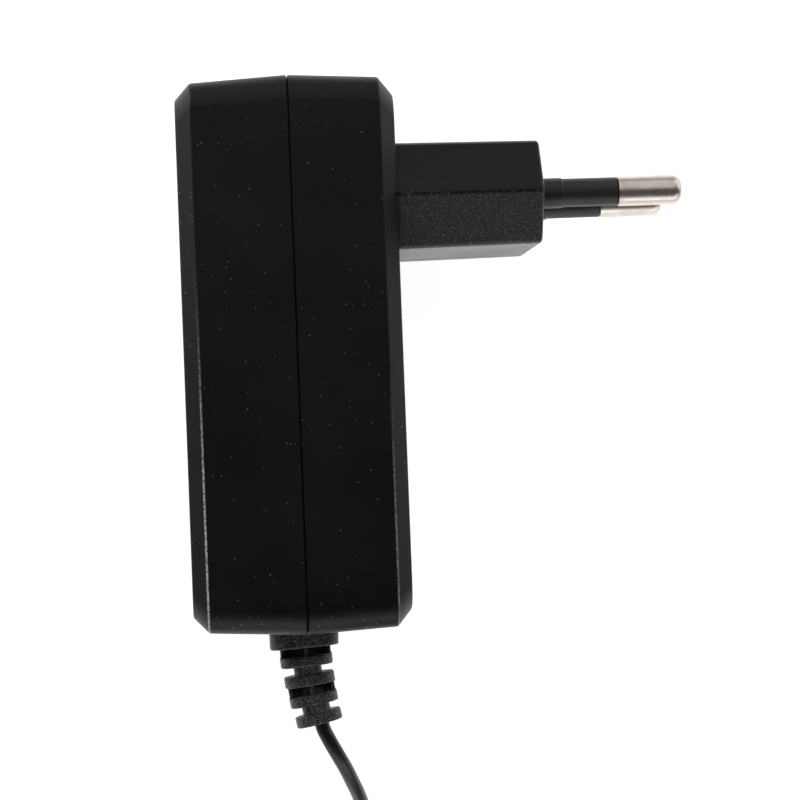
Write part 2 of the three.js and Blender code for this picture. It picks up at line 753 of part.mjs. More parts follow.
// A disc capacitor standing on edge
function disc(y, z) {
  const geometry = new THREE.LatheGeometry([
    [0, -DISC_THICK / 2], [DISC_RADIUS - 0.7, -DISC_THICK / 2], [DISC_RADIUS, -DISC_THICK / 4],
    [DISC_RADIUS, DISC_THICK / 4], [DISC_RADIUS - 0.7, DISC_THICK / 2], [0, DISC_THICK / 2],
  ].map(([radius, along]) => new THREE.Vector2(radius, along)), 20);
  geometry.translate(seat - DISC_RADIUS, y, z);
  return solidOf(geometry);
}

// A wound drum choke: a spool with a winding held between its two ends
function choke(y, z) {
  const top = seat - CHOKE_TALL;
  return turnedAlongX([
    [0, top], [CHOKE_RADIUS, top], [CHOKE_RADIUS, top + 1], [CHOKE_RADIUS - 0.5, top + 1.2],
    [CHOKE_RADIUS - 0.5, seat - 1.2], [CHOKE_RADIUS, seat - 1], [CHOKE_RADIUS, seat], [0, seat],
  ], 20).translate([0, y, z]);
}

// ---- strain relief, along -Y from the lower end of the case

const collarTop = caseEnd - GAP;
const collarMiddle = collarTop - COLLAR_THICK / 2;
const ringMiddle = (ring) => collarMiddle - FIRST_RING - ring * RING_PITCH;
const reliefEnd = ringMiddle(RING_COUNT - 1) - RING_THICK / 2;

// A slab of the relief: a rounded section centred on its axis
const slab = (wide, deep, low, high, round = SECTION_ROUND) =>
  solidOf(pulledAlongY(roundedOutline(wide, deep, round, 5), low, high));

// The moulding is drawn straight, then leans and curves with the lead
function leaned(solid) {
  return solid.warp((point) => {
    const down = Math.max(collarMiddle - point[1], 0);
    const lean = RELIEF_LEAN * down + RELIEF_CURVE * down * down;
    const slope = RELIEF_LEAN * Math.min(down, 1) + 2 * RELIEF_CURVE * down;
    point[1] += point[0] * slope * RING_FOLLOW;
    point[0] += lean;
  });
}

// What joins one ring to the slab above it: a wide web on each face, or a thin
// rib on each face with a web on each side, so that the relief bends both ways
function ringWebs(wide, deep, low, high, hasWideWeb) {
  const faceWide = hasWideWeb ? FACE_WEB : FACE_RIB;
  const faceOut = deep / 2 - WEB_IN;
  const webs = [block([-faceWide / 2, low, -faceOut], [faceWide / 2, high, faceOut])];
  if (!hasWideWeb) {
    const outer = wide / 2 - WEB_IN;
    const inner = outer - SIDE_WEB;
    webs.push(
      block([inner, low, -SIDE_WEB_DEEP / 2], [outer, high, SIDE_WEB_DEEP / 2]),
      block([-outer, low, -SIDE_WEB_DEEP / 2], [-inner, high, SIDE_WEB_DEEP / 2]),
      block([-outer, low, -MIDDLE_WEB / 2], [outer, high, MIDDLE_WEB / 2]),
    );
  }
  return webs;
}

function strainRelief() {
  const flangeWide = NECK_WIDE + 2 * FLANGE_LIP;
  const flangeDeep = NECK_DEEP + 2 * FLANGE_LIP;
  const tubeWide = 2 * RELIEF_TUBE;
  const parts = [
    slab(flangeWide, flangeDeep, flangeLow, flangeHigh),
    slab(NECK_WIDE, NECK_DEEP, collarTop - OVERLAP, flangeLow + OVERLAP, NECK_ROUND),
    slab(COLLAR_WIDE, COLLAR_DEEP, collarTop - COLLAR_THICK, collarTop),
    slab(tubeWide, tubeWide, reliefEnd + OVERLAP, collarTop - OVERLAP, RELIEF_TUBE),
  ];
  let above = collarTop - COLLAR_THICK;
  for (let ring = 0; ring < RING_COUNT; ring += 1) {
    const share = ring / (RING_COUNT - 1);
    const wide = THREE.MathUtils.lerp(RING_WIDE_FIRST, RING_WIDE_LAST, share);
    const deep = THREE.MathUtils.lerp(RING_DEEP_FIRST, RING_DEEP_LAST, share);
    const middle = ringMiddle(ring);
    const hasWideWeb = ring % 2 === 1;
    parts.push(
      slab(wide, deep, middle - RING_THICK / 2, middle + RING_THICK / 2),
      ...ringWebs(wide, deep, middle, above + OVERLAP, hasWideWeb),
    );
    above = middle - RING_THICK / 2;
  }
  return leaned(join(parts));
}

// The two cores of the lead, from the board to the inside of the strain relief
function leadCore(side) {
  const atBoard = seat - LEAD_CORE_RADIUS;
  const points = LEAD_CORE_ROUTE.map(([share, above, out]) =>
    [share * atBoard, flangeHigh + GAP + above, side * out]);
  return tube(points, LEAD_CORE_RADIUS, 10);
}

// ---- coil, tie and USB plug, in the part's own frame

// The outer shape of the wound turns: a ring with rounded edges
function coilRing(grow) {
  const [inner, outer] = [COIL_INNER - grow, COIL_OUTER + grow];
  const middle = (inner + outer) / 2;
  const profile = roundedOutline(outer - inner, COIL_TALL + 2 * grow, COIL_ROUND, 3)
    .map((point) => new THREE.Vector2(middle + point.x, COIL_TALL / 2 + point.y));
  const geometry = new THREE.LatheGeometry([...profile, profile[0].clone()], 40);
  geometry.rotateX(90 * degrees);
  return solidOf(geometry).translate([COIL_X, COIL_Y, 0]);
}

const tieSlice = (grow) => block(
  [COIL_X, COIL_Y - TIE_WIDE / 2 - grow, -CUT_PAST],
  [COIL_X + COIL_OUTER + CUT_PAST, COIL_Y + TIE_WIDE / 2 + grow, COIL_TALL + CUT_PAST],
);

// The turns are drawn in under the tie, so that it lies flush with them
function coil() {
  const waist = coilRing(-TIE_THICK - GAP);
  const whole = coilRing(0);
  return join([whole.subtract(tieSlice(GAP)), waist]);
}

const tie = () => coilRing(0).intersect(tieSlice(0)).subtract(coilRing(-TIE_THICK));

const usbAxis = USB_GRIP_THICK / 2;

function alongUsb(solid, start) {
  return solid.translate([start, USB_Y, usbAxis]);
}

const usbGripStart = USB_X + USB_RELIEF_LONG + GAP;
const usbShellStart = usbGripStart + USB_GRIP_LONG + GAP;

function usbRelief() {
  const profile = [[0, 0]];
  const pitch = USB_RELIEF_LONG / USB_RELIEF_RIBS;
  for (let rib = 0; rib < USB_RELIEF_RIBS; rib += 1) {
    const share = rib / (USB_RELIEF_RIBS - 1);
    const radius = THREE.MathUtils.lerp(USB_RELIEF_SMALL, USB_RELIEF_LARGE, share);
    const end = (rib + 1) * pitch;
    if (rib < USB_RELIEF_RIBS - 1) {
      const bottom = radius - USB_GROOVE_DEEP;
      profile.push([radius, rib * pitch], [radius, end - USB_GROOVE]);
      profile.push([bottom, end - USB_GROOVE], [bottom, end]);
    } else {
      profile.push([radius, rib * pitch], [radius, end]);
    }
  }
  profile.push([0, USB_RELIEF_LONG]);
  return alongUsb(turnedAlongX(profile, 16), USB_X);
}

function usbGrip() {
  const ring = (x, inset) => roundedOutline(
    USB_GRIP_WIDE - 2 * inset, USB_GRIP_THICK - 2 * inset, USB_GRIP_ROUND, 5,
  ).map((point) => new THREE.Vector3(x, point.x, point.y));
  const b = USB_GRIP_BEVEL;
  return alongUsb(loft([
    ring(0, b), ring(b * 0.4, b * 0.35), ring(b, 0),
    ring(USB_GRIP_LONG - b, 0), ring(USB_GRIP_LONG - b * 0.4, b * 0.35), ring(USB_GRIP_LONG, b),
  ]), usbGripStart);
}

// A flat-sided tube with round ends, open at both ends of its length
function stadiumTube(wide, thick, wall, low, high) {
  const outline = (inset) => roundedOutline(thick - 2 * inset, wide - 2 * inset, thick, 6);
  const outer = solidOf(pulledAlongX(outline(0), low, high));
  const inner = solidOf(pulledAlongX(outline(wall), low - CUT_PAST, high + CUT_PAST));
  return outer.subtract(inner);
}

const usbShell = () => alongUsb(
  stadiumTube(USB_SHELL_WIDE, USB_SHELL_THICK, USB_SHELL_WALL, 0, USB_SHELL_LONG), usbShellStart,
);

function usbInsert() {
  const off = 2 * (USB_SHELL_WALL + GAP);
  const long = USB_SHELL_LONG - USB_INSERT_BACK;
  return alongUsb(
    stadiumTube(USB_SHELL_WIDE - off, USB_SHELL_THICK - off, USB_INSERT_WALL, 0, long),
    usbShellStart,
  );
}

// ------------------------------------------------------------------ assembly

const caseGroup = new THREE.Group();
const leadGroup = new THREE.Group();
const group = new THREE.Group();

caseGroup.add(
  piece('front_cover', frontCover(), material(CASE_BLACK, 0.5)),
  piece('rear_cover', rearCover(), material(CASE_BLACK, 0.5)),
  piece('pin_carrier', pinCarrier(), material(INSULATOR_CREAM, 0.55)),
  piece('circuit_board', circuitBoard(), material(BOARD_GREEN, 0.5)),
  piece('strain_relief', strainRelief(), material(RELIEF_BLACK, 0.75)),
);

for (const [name, side] of Object.entries(pinSides)) {
  const pin = piece(`contact_pin_${name}`, pinSolid(), material(PIN_NICKEL, 0.25, 1));
  const sleeve = piece(`pin_sleeve_${name}`, sleeveSolid(), material(SLEEVE_BLACK, 0.6));
  for (const mesh of [pin, sleeve]) mesh.applyMatrix4(pinPlace(side));
  caseGroup.add(
    pin,
    sleeve,
    piece(`contact_spring_${name}`, contactSpring(side), material(BRASS, 0.35, 1)),
  );
}

// The transformer
for (const [name, side] of Object.entries(pinSides)) {
  caseGroup.add(piece(`transformer_core_${name}`, coreHalf(side), material(FERRITE, 0.7)));
}
caseGroup.add(
  piece('transformer_bobbin', bobbin(), material(PACKAGE_BLACK, 0.5)),
  piece('transformer_winding', winding(), material(TAPE_YELLOW, 0.4)),
);

// Cans, packages and the lead's cores, in pairs or one by one
for (const [name, side] of Object.entries({ a: 1, b: -1 })) {
  const input = can(INPUT_CAN_RADIUS, INPUT_CAN_TALL, inputRow, side * inputOut);
  const output = can(OUTPUT_CAN_RADIUS, OUTPUT_CAN_TALL, outputRow, side * outputOut);
  caseGroup.add(
    piece(`input_capacitor_${name}`, input, material(INPUT_CAN_BLUE, 0.4)),
    piece(`output_capacitor_${name}`, output, material(OUTPUT_CAN_GREEN, 0.4)),
    piece(`lead_core_${name}`, leadCore(side), material(side > 0 ? CORE_RED : CORD_BLACK, 0.5)),
  );
}

const rectifier = chip(RECTIFIER, rowAbove + RECTIFIER.long / 2, RECTIFIER.out);
const optocoupler = chip(OPTOCOUPLER, rowBelow - OPTOCOUPLER.long / 2, OPTOCOUPLER.out);
const diode = chip(DIODE, lastRow - DIODE.long / 2, DIODE.out);
caseGroup.add(
  piece('fuse_resistor', fuse(), material(FUSE_GREEN, 0.6)),
  piece('bridge_rectifier', rectifier, material(PACKAGE_BLACK, 0.6)),
  piece('optocoupler', optocoupler, material(PACKAGE_BLACK, 0.6)),
  piece('isolation_capacitor', disc(rowBelow - DISC_THICK / 2, DISC_OUT), material(DISC_BLUE, 0.5)),
  piece('output_choke', choke(lastRow - CHOKE_RADIUS, CHOKE_OUT), material(CHOKE_COPPER, 0.4)),
  piece('output_diode', diode, material(PACKAGE_BLACK, 0.6)),
);

// The controller is on the solder side of the board, behind the transformer
const controller = new THREE.Group();
controller.add(piece('controller_chip', chip(CONTROLLER, 0, 0), material(PACKAGE_BLACK, 0.6)));
controller.rotation.z = Math.PI;
controller.position.set(boardBack + GAP + seat, CONTROLLER.up, 0);
caseGroup.add(controller);

leadGroup.add(
  piece('cord', tube(LEAD_ROUTE, CORD_RADIUS, 22), material(CORD_BLACK, 0.55)),
  piece('cord_coil', coil(), material(CORD_BLACK, 0.55)),
  piece('cord_tie', tie(), material(SLEEVE_BLACK, 0.6)),
  piece('cord_end', tube(TAIL_ROUTE, CORD_RADIUS, 8), material(CORD_BLACK, 0.55)),
  piece('usb_relief', usbRelief(), material(CORD_BLACK, 0.6)),
  piece('usb_grip', usbGrip(), material(CORD_BLACK, 0.5)),
  piece('usb_shell', usbShell(), material(USB_STEEL, 0.25, 1)),
  piece('usb_insert', usbInsert(), material(PACKAGE_BLACK, 0.5)),
);

// The pins' tips and the front cover are as far from the origin, along X
caseGroup.position.set((FRONT_DEEP - plugFace - PIN_LONG) / 2, 0, CASE_WIDE / 2);
group.add(caseGroup, leadGroup);

export default group;
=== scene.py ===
# %% [markdown]
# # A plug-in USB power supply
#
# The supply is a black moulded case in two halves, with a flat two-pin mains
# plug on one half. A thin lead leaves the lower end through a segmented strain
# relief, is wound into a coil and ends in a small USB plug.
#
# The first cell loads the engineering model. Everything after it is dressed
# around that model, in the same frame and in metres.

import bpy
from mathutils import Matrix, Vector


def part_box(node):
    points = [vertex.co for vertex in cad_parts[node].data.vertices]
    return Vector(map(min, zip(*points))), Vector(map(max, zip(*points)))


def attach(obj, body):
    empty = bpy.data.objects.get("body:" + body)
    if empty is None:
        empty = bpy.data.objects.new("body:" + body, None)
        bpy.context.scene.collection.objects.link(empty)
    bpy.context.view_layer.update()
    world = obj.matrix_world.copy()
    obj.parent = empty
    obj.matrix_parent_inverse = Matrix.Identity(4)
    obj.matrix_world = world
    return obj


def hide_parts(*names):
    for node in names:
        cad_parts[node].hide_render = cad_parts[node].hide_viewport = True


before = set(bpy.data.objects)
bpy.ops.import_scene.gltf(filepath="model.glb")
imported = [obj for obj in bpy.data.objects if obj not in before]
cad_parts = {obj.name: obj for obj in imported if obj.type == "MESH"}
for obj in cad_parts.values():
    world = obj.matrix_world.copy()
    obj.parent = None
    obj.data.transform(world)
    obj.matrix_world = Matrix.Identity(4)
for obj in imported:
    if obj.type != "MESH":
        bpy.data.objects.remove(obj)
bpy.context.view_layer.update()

# %% [markdown]
# ## Units and where the case is
#
# The supply lies on its side, so its width runs along Z. X is the way the pins
# point and Y runs up the long side, away from the lead. The two halves meet at
# the seam, which is the front half's depth from its outer face.

# %% Find the case
import math
import random

import bmesh
import bpy
from mathutils import Matrix, Vector

MM = 0.001
GAP = 0.3 * MM  # between pieces that touch
FRONT_DEEP = 14.75 * MM

front_low, front_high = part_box("front_cover")
seam_x = front_low.x + FRONT_DEEP
case_long = front_high.y - front_low.y
case_wide = front_high.z - front_low.z
middle_z = (front_high.z + front_low.z) / 2
case_end = front_low.y
print("seam at", round(seam_x / MM, 3), "mm, case", round(case_long / MM, 2), "by",
      round(case_wide / MM, 2), "mm")

# %% [markdown]
# ## Camera
#
# The camera looks almost straight down at the supply's side from 0.4 m with a
# long lens, which keeps the long edges of the case nearly parallel. It is rolled
# by two degrees and tipped a little towards the plug. The three turns say how
# the supply is turned in front of a camera that looks down its own axis, so the
# camera gets the opposite turn.

# %% Place the camera
CAMERA_FAR = 400 * MM
CAMERA_AIM = Vector((14.536, -5.568, 0)) * MM  # from the case's middle
CAMERA_LENS = 132.265  # mm of focal length, for a 36 mm sensor
CAMERA_TURNS = (-0.0211, 0.0666, 0.0376)  # about X, Y and Z, in radians

tilt_x, tilt_y, roll = CAMERA_TURNS
turn = (Matrix.Rotation(roll, 3, "Z") @ Matrix.Rotation(tilt_y, 3, "Y")
        @ Matrix.Rotation(tilt_x, 3, "X"))
lens = bpy.data.cameras.new("camera")
lens.sensor_width = 36
lens.lens = CAMERA_LENS
camera = bpy.data.objects.new("camera", lens)
bpy.context.scene.collection.objects.link(camera)
case_middle = Vector((seam_x, 0, middle_z))
spot = case_middle + turn.transposed() @ (CAMERA_AIM + Vector((0, 0, CAMERA_FAR)))
camera.matrix_world = Matrix.Translation(spot) @ turn.transposed().to_4x4()
bpy.context.scene.camera = camera
print("camera at", [round(value, 4) for value in camera.location])

# %% [markdown]
# ## The lead
#
# A supply like this has about 1.5 m of thin round lead, 2 mm across. It leaves
# the strain relief, droops to the table and runs into a coil of four layers of
# five turns, which a tie holds. It could be a chain of cylinders, but one
# smooth curve with a round section bends evenly and has a true length.
#
# The turns spiral inwards on one layer and outwards on the next, as a hand winds
# them, with a turn of constant size where one layer climbs on to another. Under
# the tie they are squeezed together. A small seeded wobble keeps them from
# looking machined.

# %% Draw the lead's line
LEAD_ROUTE = [
    (-17.0, -49.3, 20.0), (-16.85, -50.1, 20.0), (-16.1, -51.8, 19.9),
    (-15.0, -53.9, 19.2), (-13.9, -56.0, 17.7), (-12.9, -58.2, 15.4),
    (-12.0, -60.3, 12.5), (-11.3, -62.3, 9.3), (-10.7, -64.4, 6.2),
    (-10.2, -66.8, 3.6), (-9.8, -69.8, 1.8), (-9.5, -73.2, 1.05), (-9.4, -77.0, 1.0),
    (-9.32, -81.0, 1.0),
]
TAIL_ROUTE = [
    (10.2, -102.0, 6.6), (13.0, -102.0, 6.45), (15.8, -102.0, 6.2),
    (18.4, -102.1, 5.2), (21.0, -102.3, 4.1), (23.6, -102.4, 3.5), (26.0, -102.4, 3.4),
    (26.9, -102.4, 3.4),
]
CORD_RADIUS = 1.0
COIL_MIDDLE = (6.7, -86.0)
TURN_RADII = (16.0, 8.0)  # outermost and innermost turn
LAYER_HEIGHTS = (1.0, 2.9, 4.8, 6.7)
TURNS_PER_LAYER = 5
TURNS = 19.25
POINTS_PER_TURN = 16
TIE_HALF_ANGLE = 0.16  # radians of each turn that the tie squeezes
TIE_SQUEEZE = (0.17, 0.25)  # share taken off the bundle's width and its height
WOBBLE = 0.12

random.seed(4)


def turn_place(turns):
    """Radius and height of the coiled lead after so many turns"""
    layer = min(int(turns // TURNS_PER_LAYER), len(LAYER_HEIGHTS) - 1)
    done = turns - layer * TURNS_PER_LAYER
    across = min(done / (TURNS_PER_LAYER - 1), 1.0)
    start, end = TURN_RADII if layer % 2 == 0 else TURN_RADII[::-1]
    climb = max(done - (TURNS_PER_LAYER - 1), 0.0)
    height = LAYER_HEIGHTS[layer]
    if layer + 1 < len(LAYER_HEIGHTS):
        height += (LAYER_HEIGHTS[layer + 1] - height) * climb
    return start + (end - start) * across, height


def squeeze(radius, height, angle):
    """Draws a point of the coil in where the tie goes round it"""
    off = abs((angle + math.pi) % (2 * math.pi) - math.pi)
    held = max(0.0, min(1.0, 2 - off / TIE_HALF_ANGLE))
    middle_radius = sum(TURN_RADII) / 2
    middle_height = (LAYER_HEIGHTS[0] + LAYER_HEIGHTS[-1]) / 2
    return (middle_radius + (radius - middle_radius) * (1 - TIE_SQUEEZE[0] * held),
            middle_height + (height - middle_height) * (1 - TIE_SQUEEZE[1] * held))


coil_points = []
for number in range(int(TURNS * POINTS_PER_TURN) + 1):
    turns = number / POINTS_PER_TURN
    radius, height = turn_place(turns)
    angle = math.pi + turns * 2 * math.pi
    radius, height = squeeze(radius, height, angle)
    wobble = WOBBLE if 0 < number < TURNS * POINTS_PER_TURN else 0.0
    radius += random.uniform(-wobble, wobble)
    height = max(height + random.uniform(-wobble, wobble), CORD_RADIUS)
    coil_points.append((COIL_MIDDLE[0] + radius * math.cos(angle),
                        COIL_MIDDLE[1] + radius * math.sin(angle), height))

lead_points = [Vector(point) * MM for point in LEAD_ROUTE + coil_points + TAIL_ROUTE]
print("lead:", len(lead_points), "points, straight-line length",
      round(sum((b - a).length for a, b in zip(lead_points, lead_points[1:])), 4), "m")

# %% Make the lead
def smooth_curve(name, points, radius):
    """A round curve through the points, with closed ends

    The radius is given to the knots, because a curve's box is its knots and
    their radii.
    """
    line = bpy.data.curves.new(name, "CURVE")
    line.dimensions = "3D"
    line.bevel_depth = 1.0
    line.bevel_resolution = 4
    line.resolution_u = 4
    line.use_fill_caps = True
    spline = line.splines.new("BEZIER")
    spline.bezier_points.add(len(points) - 1)
    for knot, point in zip(spline.bezier_points, points):
        knot.co, knot.radius = point, radius
        knot.handle_left_type = knot.handle_right_type = "AUTO"
    curve = bpy.data.objects.new(name, line)
    bpy.context.scene.collection.objects.link(curve)
    return curve


cord = smooth_curve("lead", lead_points, CORD_RADIUS * MM)
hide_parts("cord", "cord_coil", "cord_end")
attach(cord, "root")
print("lead made:", cord.name)

# %% [markdown]
# ## A small bench of modelling steps
#
# The pieces are made as by hand: a primitive is added at its size and place, and
# edit mode shapes it. A few steps repeat for every piece, so they are short
# functions here: clear the selection, open a mesh, pick parts of it by where
# they are, tidy the result, and let it stand for its engineering nodes.

# %% Bench steps
def clear_selection():
    if bpy.context.object and bpy.context.object.mode != "OBJECT":
        bpy.ops.object.mode_set(mode="OBJECT")
    bpy.ops.object.select_all(action="DESELECT")


def take(piece):
    """Selects one piece and makes it the active one"""
    clear_selection()
    piece.select_set(True)
    bpy.context.view_layer.objects.active = piece


def open_mesh(piece):
    """Edit mode on one piece, with nothing selected"""
    take(piece)
    bpy.ops.object.mode_set(mode="EDIT")
    bpy.ops.mesh.select_all(action="DESELECT")


def close_mesh():
    bpy.ops.object.mode_set(mode="OBJECT")


def pick_all():
    bpy.ops.mesh.select_all(action="SELECT")


def pick(kind, test):
    """Picks the vertices, edges or faces of the open mesh that pass a test"""
    bpy.ops.mesh.select_mode(type=kind)
    bpy.ops.mesh.select_all(action="DESELECT")
    mesh = bmesh.from_edit_mesh(bpy.context.object.data)
    parts = {"VERT": mesh.verts, "EDGE": mesh.edges, "FACE": mesh.faces}[kind]
    for part in [part for part in parts if test(part)]:
        part.select_set(True)
    mesh.select_flush_mode()
    bmesh.update_edit_mesh(bpy.context.object.data)


def round_edges(test, width, segments):
    """Bevels the edges of the open mesh that pass a test"""
    pick("EDGE", test)
    bpy.ops.mesh.bevel(offset=width, segments=segments, affect="EDGES")


def pull(way):
    """Extrudes what is picked along a vector"""
    bpy.ops.mesh.extrude_region_move(TRANSFORM_OT_translate={"value": way})


def keep_place():
    """Puts an object's place, turn and scale into its mesh"""
    bpy.ops.object.transform_apply(location=True, rotation=True, scale=True)


def settle(piece, place=None):
    """Closes a piece: doubles merged, faces out, its place in its mesh"""
    open_mesh(piece)
    bpy.ops.mesh.select_all(action="SELECT")
    bpy.ops.mesh.remove_doubles(threshold=0.002 * MM)
    bpy.ops.mesh.normals_make_consistent(inside=False)
    close_mesh()
    if place:
        piece.matrix_world = place
    keep_place()
    return piece


def apply_modifier(piece, kind, **settings):
    take(piece)
    modifier = piece.modifiers.new(kind.lower(), kind)
    for name, value in settings.items():
        setattr(modifier, name, value)
    bpy.ops.object.modifier_apply(modifier=modifier.name)


def combine(base, tools, operation):
    """Joins pieces to a base, or cuts them out of it, and takes them away"""
    for tool in tools:
        apply_modifier(base, "BOOLEAN", operation=operation, solver="EXACT", object=tool)
        bpy.data.objects.remove(tool, do_unlink=True)


CREASE = 32  # degrees; a sharper edge stays an edge


def shade(piece):
    """Smooth shading that big flat faces keep flat"""
    take(piece)
    bpy.ops.object.shade_smooth_by_angle(angle=math.radians(CREASE))
    apply_modifier(piece, "WEIGHTED_NORMAL", keep_sharp=True, weight=80)


def report(piece):
    piece.data.calc_loop_triangles()
    sides = bmesh.new()
    sides.from_mesh(piece.data)
    open_edges = sum(1 for edge in sides.edges if len(edge.link_faces) != 2)
    sides.free()
    size = [round(value / MM, 2) for value in piece.dimensions]
    print(piece.name, "size", size, "mm,", len(piece.data.loop_triangles), "triangles,",
          open_edges, "open edges")


def stand_in(piece, slot, *nodes):
    """Finishes a piece and lets it stand for its engineering nodes"""
    shade(piece)
    if nodes:
        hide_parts(*nodes)
    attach(piece, "root")
    report(piece)


# %% [markdown]
# ## A rounded plate and an edge that walks
#
# Most mouldings here start from one shape: a flat plate with round corners. It
# is a plane whose four corners are bevelled. Pulled straight up, it is a slab.
# With its face removed, only its outline is left, and a walk of extrusions can
# carry that outline over a shell: out over the skin, across the rim and down
# the inside, each step with its own place and size.

# %% Rounded plates and walking edges
NEAR = 0.01 * MM  # how close a vertex is to a place that it is picked by
PLATE_TURNS = {"X": (0, math.pi / 2, 0), "Y": (-math.pi / 2, 0, 0), "Z": (0, 0, 0)}


def plate(name, axis, centre, size, corner, segments=6):
    """A flat plate with round corners, square to an axis, left open in edit mode"""
    clear_selection()
    bpy.ops.mesh.primitive_plane_add(size=1, location=centre, rotation=PLATE_TURNS[axis])
    piece = bpy.context.object
    piece.name = piece.data.name = name
    keep_place()
    bpy.ops.object.mode_set(mode="EDIT")
    pick_all()
    bpy.ops.transform.resize(value=size, center_override=centre)
    bpy.ops.mesh.select_mode(type="VERT")
    if corner:
        bpy.ops.mesh.bevel(offset=corner, segments=segments, affect="VERTICES")
    pick_all()
    return piece


def slab(name, axis, centre, size, thick, corner, edge=0.0, segments=6, edge_segments=2):
    """A plate pulled to a thickness both ways from its centre, with soft edges"""
    centre = Vector(centre)
    way = Vector([1.0 if letter == axis else 0.0 for letter in "XYZ"])
    piece = plate(name, axis, centre - way * thick / 2, size, corner, segments)
    pull(way * thick)
    pick_all()
    bpy.ops.mesh.normals_make_consistent(inside=False)
    if edge:
        round_edges(lambda e: all(
            abs(abs((v.co - centre).dot(way)) - thick / 2) < NEAR for v in e.verts),
            edge, edge_segments)
    close_mesh()
    return piece


class Walk:
    """An outline square to X that is carried on by extrusions"""

    def __init__(self, start, long, wide, inset=0.0):
        self.x, *self.middle = start
        self.long, self.wide, self.inset = long, wide, inset

    def to(self, x, inset):
        """Carries the selected edges on to another x and another inset"""
        bpy.ops.mesh.extrude_edges_move(
            TRANSFORM_OT_translate={"value": (x - self.x, 0, 0)})
        self.resize(x, inset)

    def resize(self, x, inset):
        scale_long = (self.long - 2 * inset) / (self.long - 2 * self.inset)
        scale_wide = (self.wide - 2 * inset) / (self.wide - 2 * self.inset)
        bpy.ops.transform.resize(
            value=(1, scale_long, scale_wide), center_override=(x, *self.middle))
        self.x, self.inset = x, inset

    def close(self):
        bpy.ops.mesh.edge_face_add()


def outline(name, centre, long, wide, corner, segments=6):
    """A plate's outline alone, picked, and the walk that carries it on"""
    piece = plate(name, "X", centre, (1, long, wide), corner, segments)
    bpy.ops.mesh.delete(type="ONLY_FACE")
    pick_all()
    return piece, Walk(centre, long, wide)


print("bench ready")

# %% [markdown]
# ## The case
#
# Each half is an injection moulding: a tray with slightly sloping walls, so that
# it leaves its mould, and a broad chamfer round its outer face. A tongue on the
# rear half drops into a step in the front half. A cube with its face pushed in
# would do for a box, but the walk of an outline gives the slope, the chamfer,
# the rim and the inside in one skin with an even wall.

# %% Model a case half
CASE_CORNER = 3.8 * MM
SEAM_BEVEL = 0.13 * MM
SEAM_GAP = 0.12 * MM
WALL = 2.0 * MM
TONGUE_TALL = 1.8 * MM
TONGUE_INSET = 1.2 * MM
INSIDE_TAPER = 0.5 * MM
CHAMFER_SOFT = 0.22 * MM
FRONT = {"side": -1, "deep": FRONT_DEEP, "draft": math.radians(2.98),
         "chamfer_deep": 2.05 * MM, "chamfer_in": 2.07 * MM}
REAR = {"side": 1, "deep": 13.9 * MM, "draft": math.radians(2.67),
        "chamfer_deep": 2.02 * MM, "chamfer_in": 2.22 * MM}


def case_half(name, half, rim):
    """rim lists the steps from the seam's edge inwards, as (x, inset)"""
    side, deep = half["side"], half["deep"]
    start = side * SEAM_GAP / 2
    straight = deep - half["chamfer_deep"]
    drawn_in = straight * math.tan(half["draft"])
    piece, walk = outline(name, (seam_x, 0, middle_z), case_long, case_wide,
                          CASE_CORNER, segments=8)
    bpy.ops.transform.translate(value=(start, 0, 0))
    walk.resize(seam_x + start, SEAM_BEVEL)
    walk.to(seam_x + start + side * SEAM_BEVEL, 0.0)
    walk.to(seam_x + side * straight, drawn_in)
    walk.to(seam_x + side * deep, drawn_in + half["chamfer_in"])
    walk.close()
    pick("EDGE", lambda e: e.is_boundary)
    walk = Walk((seam_x + start, 0, middle_z), case_long, case_wide, SEAM_BEVEL)
    for x, inset in rim:
        walk.to(seam_x + x, inset)
    floor = deep - WALL
    walk.to(seam_x + side * floor,
            WALL + floor * (math.tan(half["draft"]) + INSIDE_TAPER / deep))
    walk.close()
    settle(piece)
    open_mesh(piece)
    for x in (straight, deep):
        round_edges(lambda e: all(
            abs(v.co.x - seam_x - side * x) < 2 * NEAR for v in e.verts),
            CHAMFER_SOFT, 3)
    close_mesh()
    return piece


tongue_step = TONGUE_INSET - GAP
case_front = case_half("case_front", FRONT, [
    (-SEAM_GAP / 2, tongue_step), (-TONGUE_TALL - GAP, tongue_step),
    (-TONGUE_TALL - GAP, WALL),
])
case_rear = case_half("case_rear", REAR, [
    (SEAM_GAP / 2, TONGUE_INSET), (-TONGUE_TALL, TONGUE_INSET), (-TONGUE_TALL, WALL),
])
report(case_front)
report(case_rear)

# %% [markdown]
# ## What passes through the case
#
# The strain relief's neck leaves through a rounded slot that both halves share.
# The slot is cut with a slab of the neck's section, a gap larger all round.
# Short posts inside each half hold the circuit board between them. They are
# cylinders with a hole or a nub at the end, joined to the floor of each half.

# %% Cut the neck's slot and add the posts
NECK_WIDE = 6.4 * MM
NECK_DEEP = 5.0 * MM
NECK_ROUND = 1.4 * MM
POST_RADIUS = 2.0 * MM
POST_NUB = 1.1 * MM
NUB_TALL = 0.8 * MM
POST_FROM_EDGE = 2.6 * MM
board_low, board_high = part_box("circuit_board")


def neck_slot():
    size = (NECK_WIDE + 2 * GAP, 1, NECK_DEEP + 2 * GAP)
    return slab("slot", "Y", (seam_x, case_end + WALL, middle_z), size, 4 * WALL,
                NECK_ROUND + GAP)


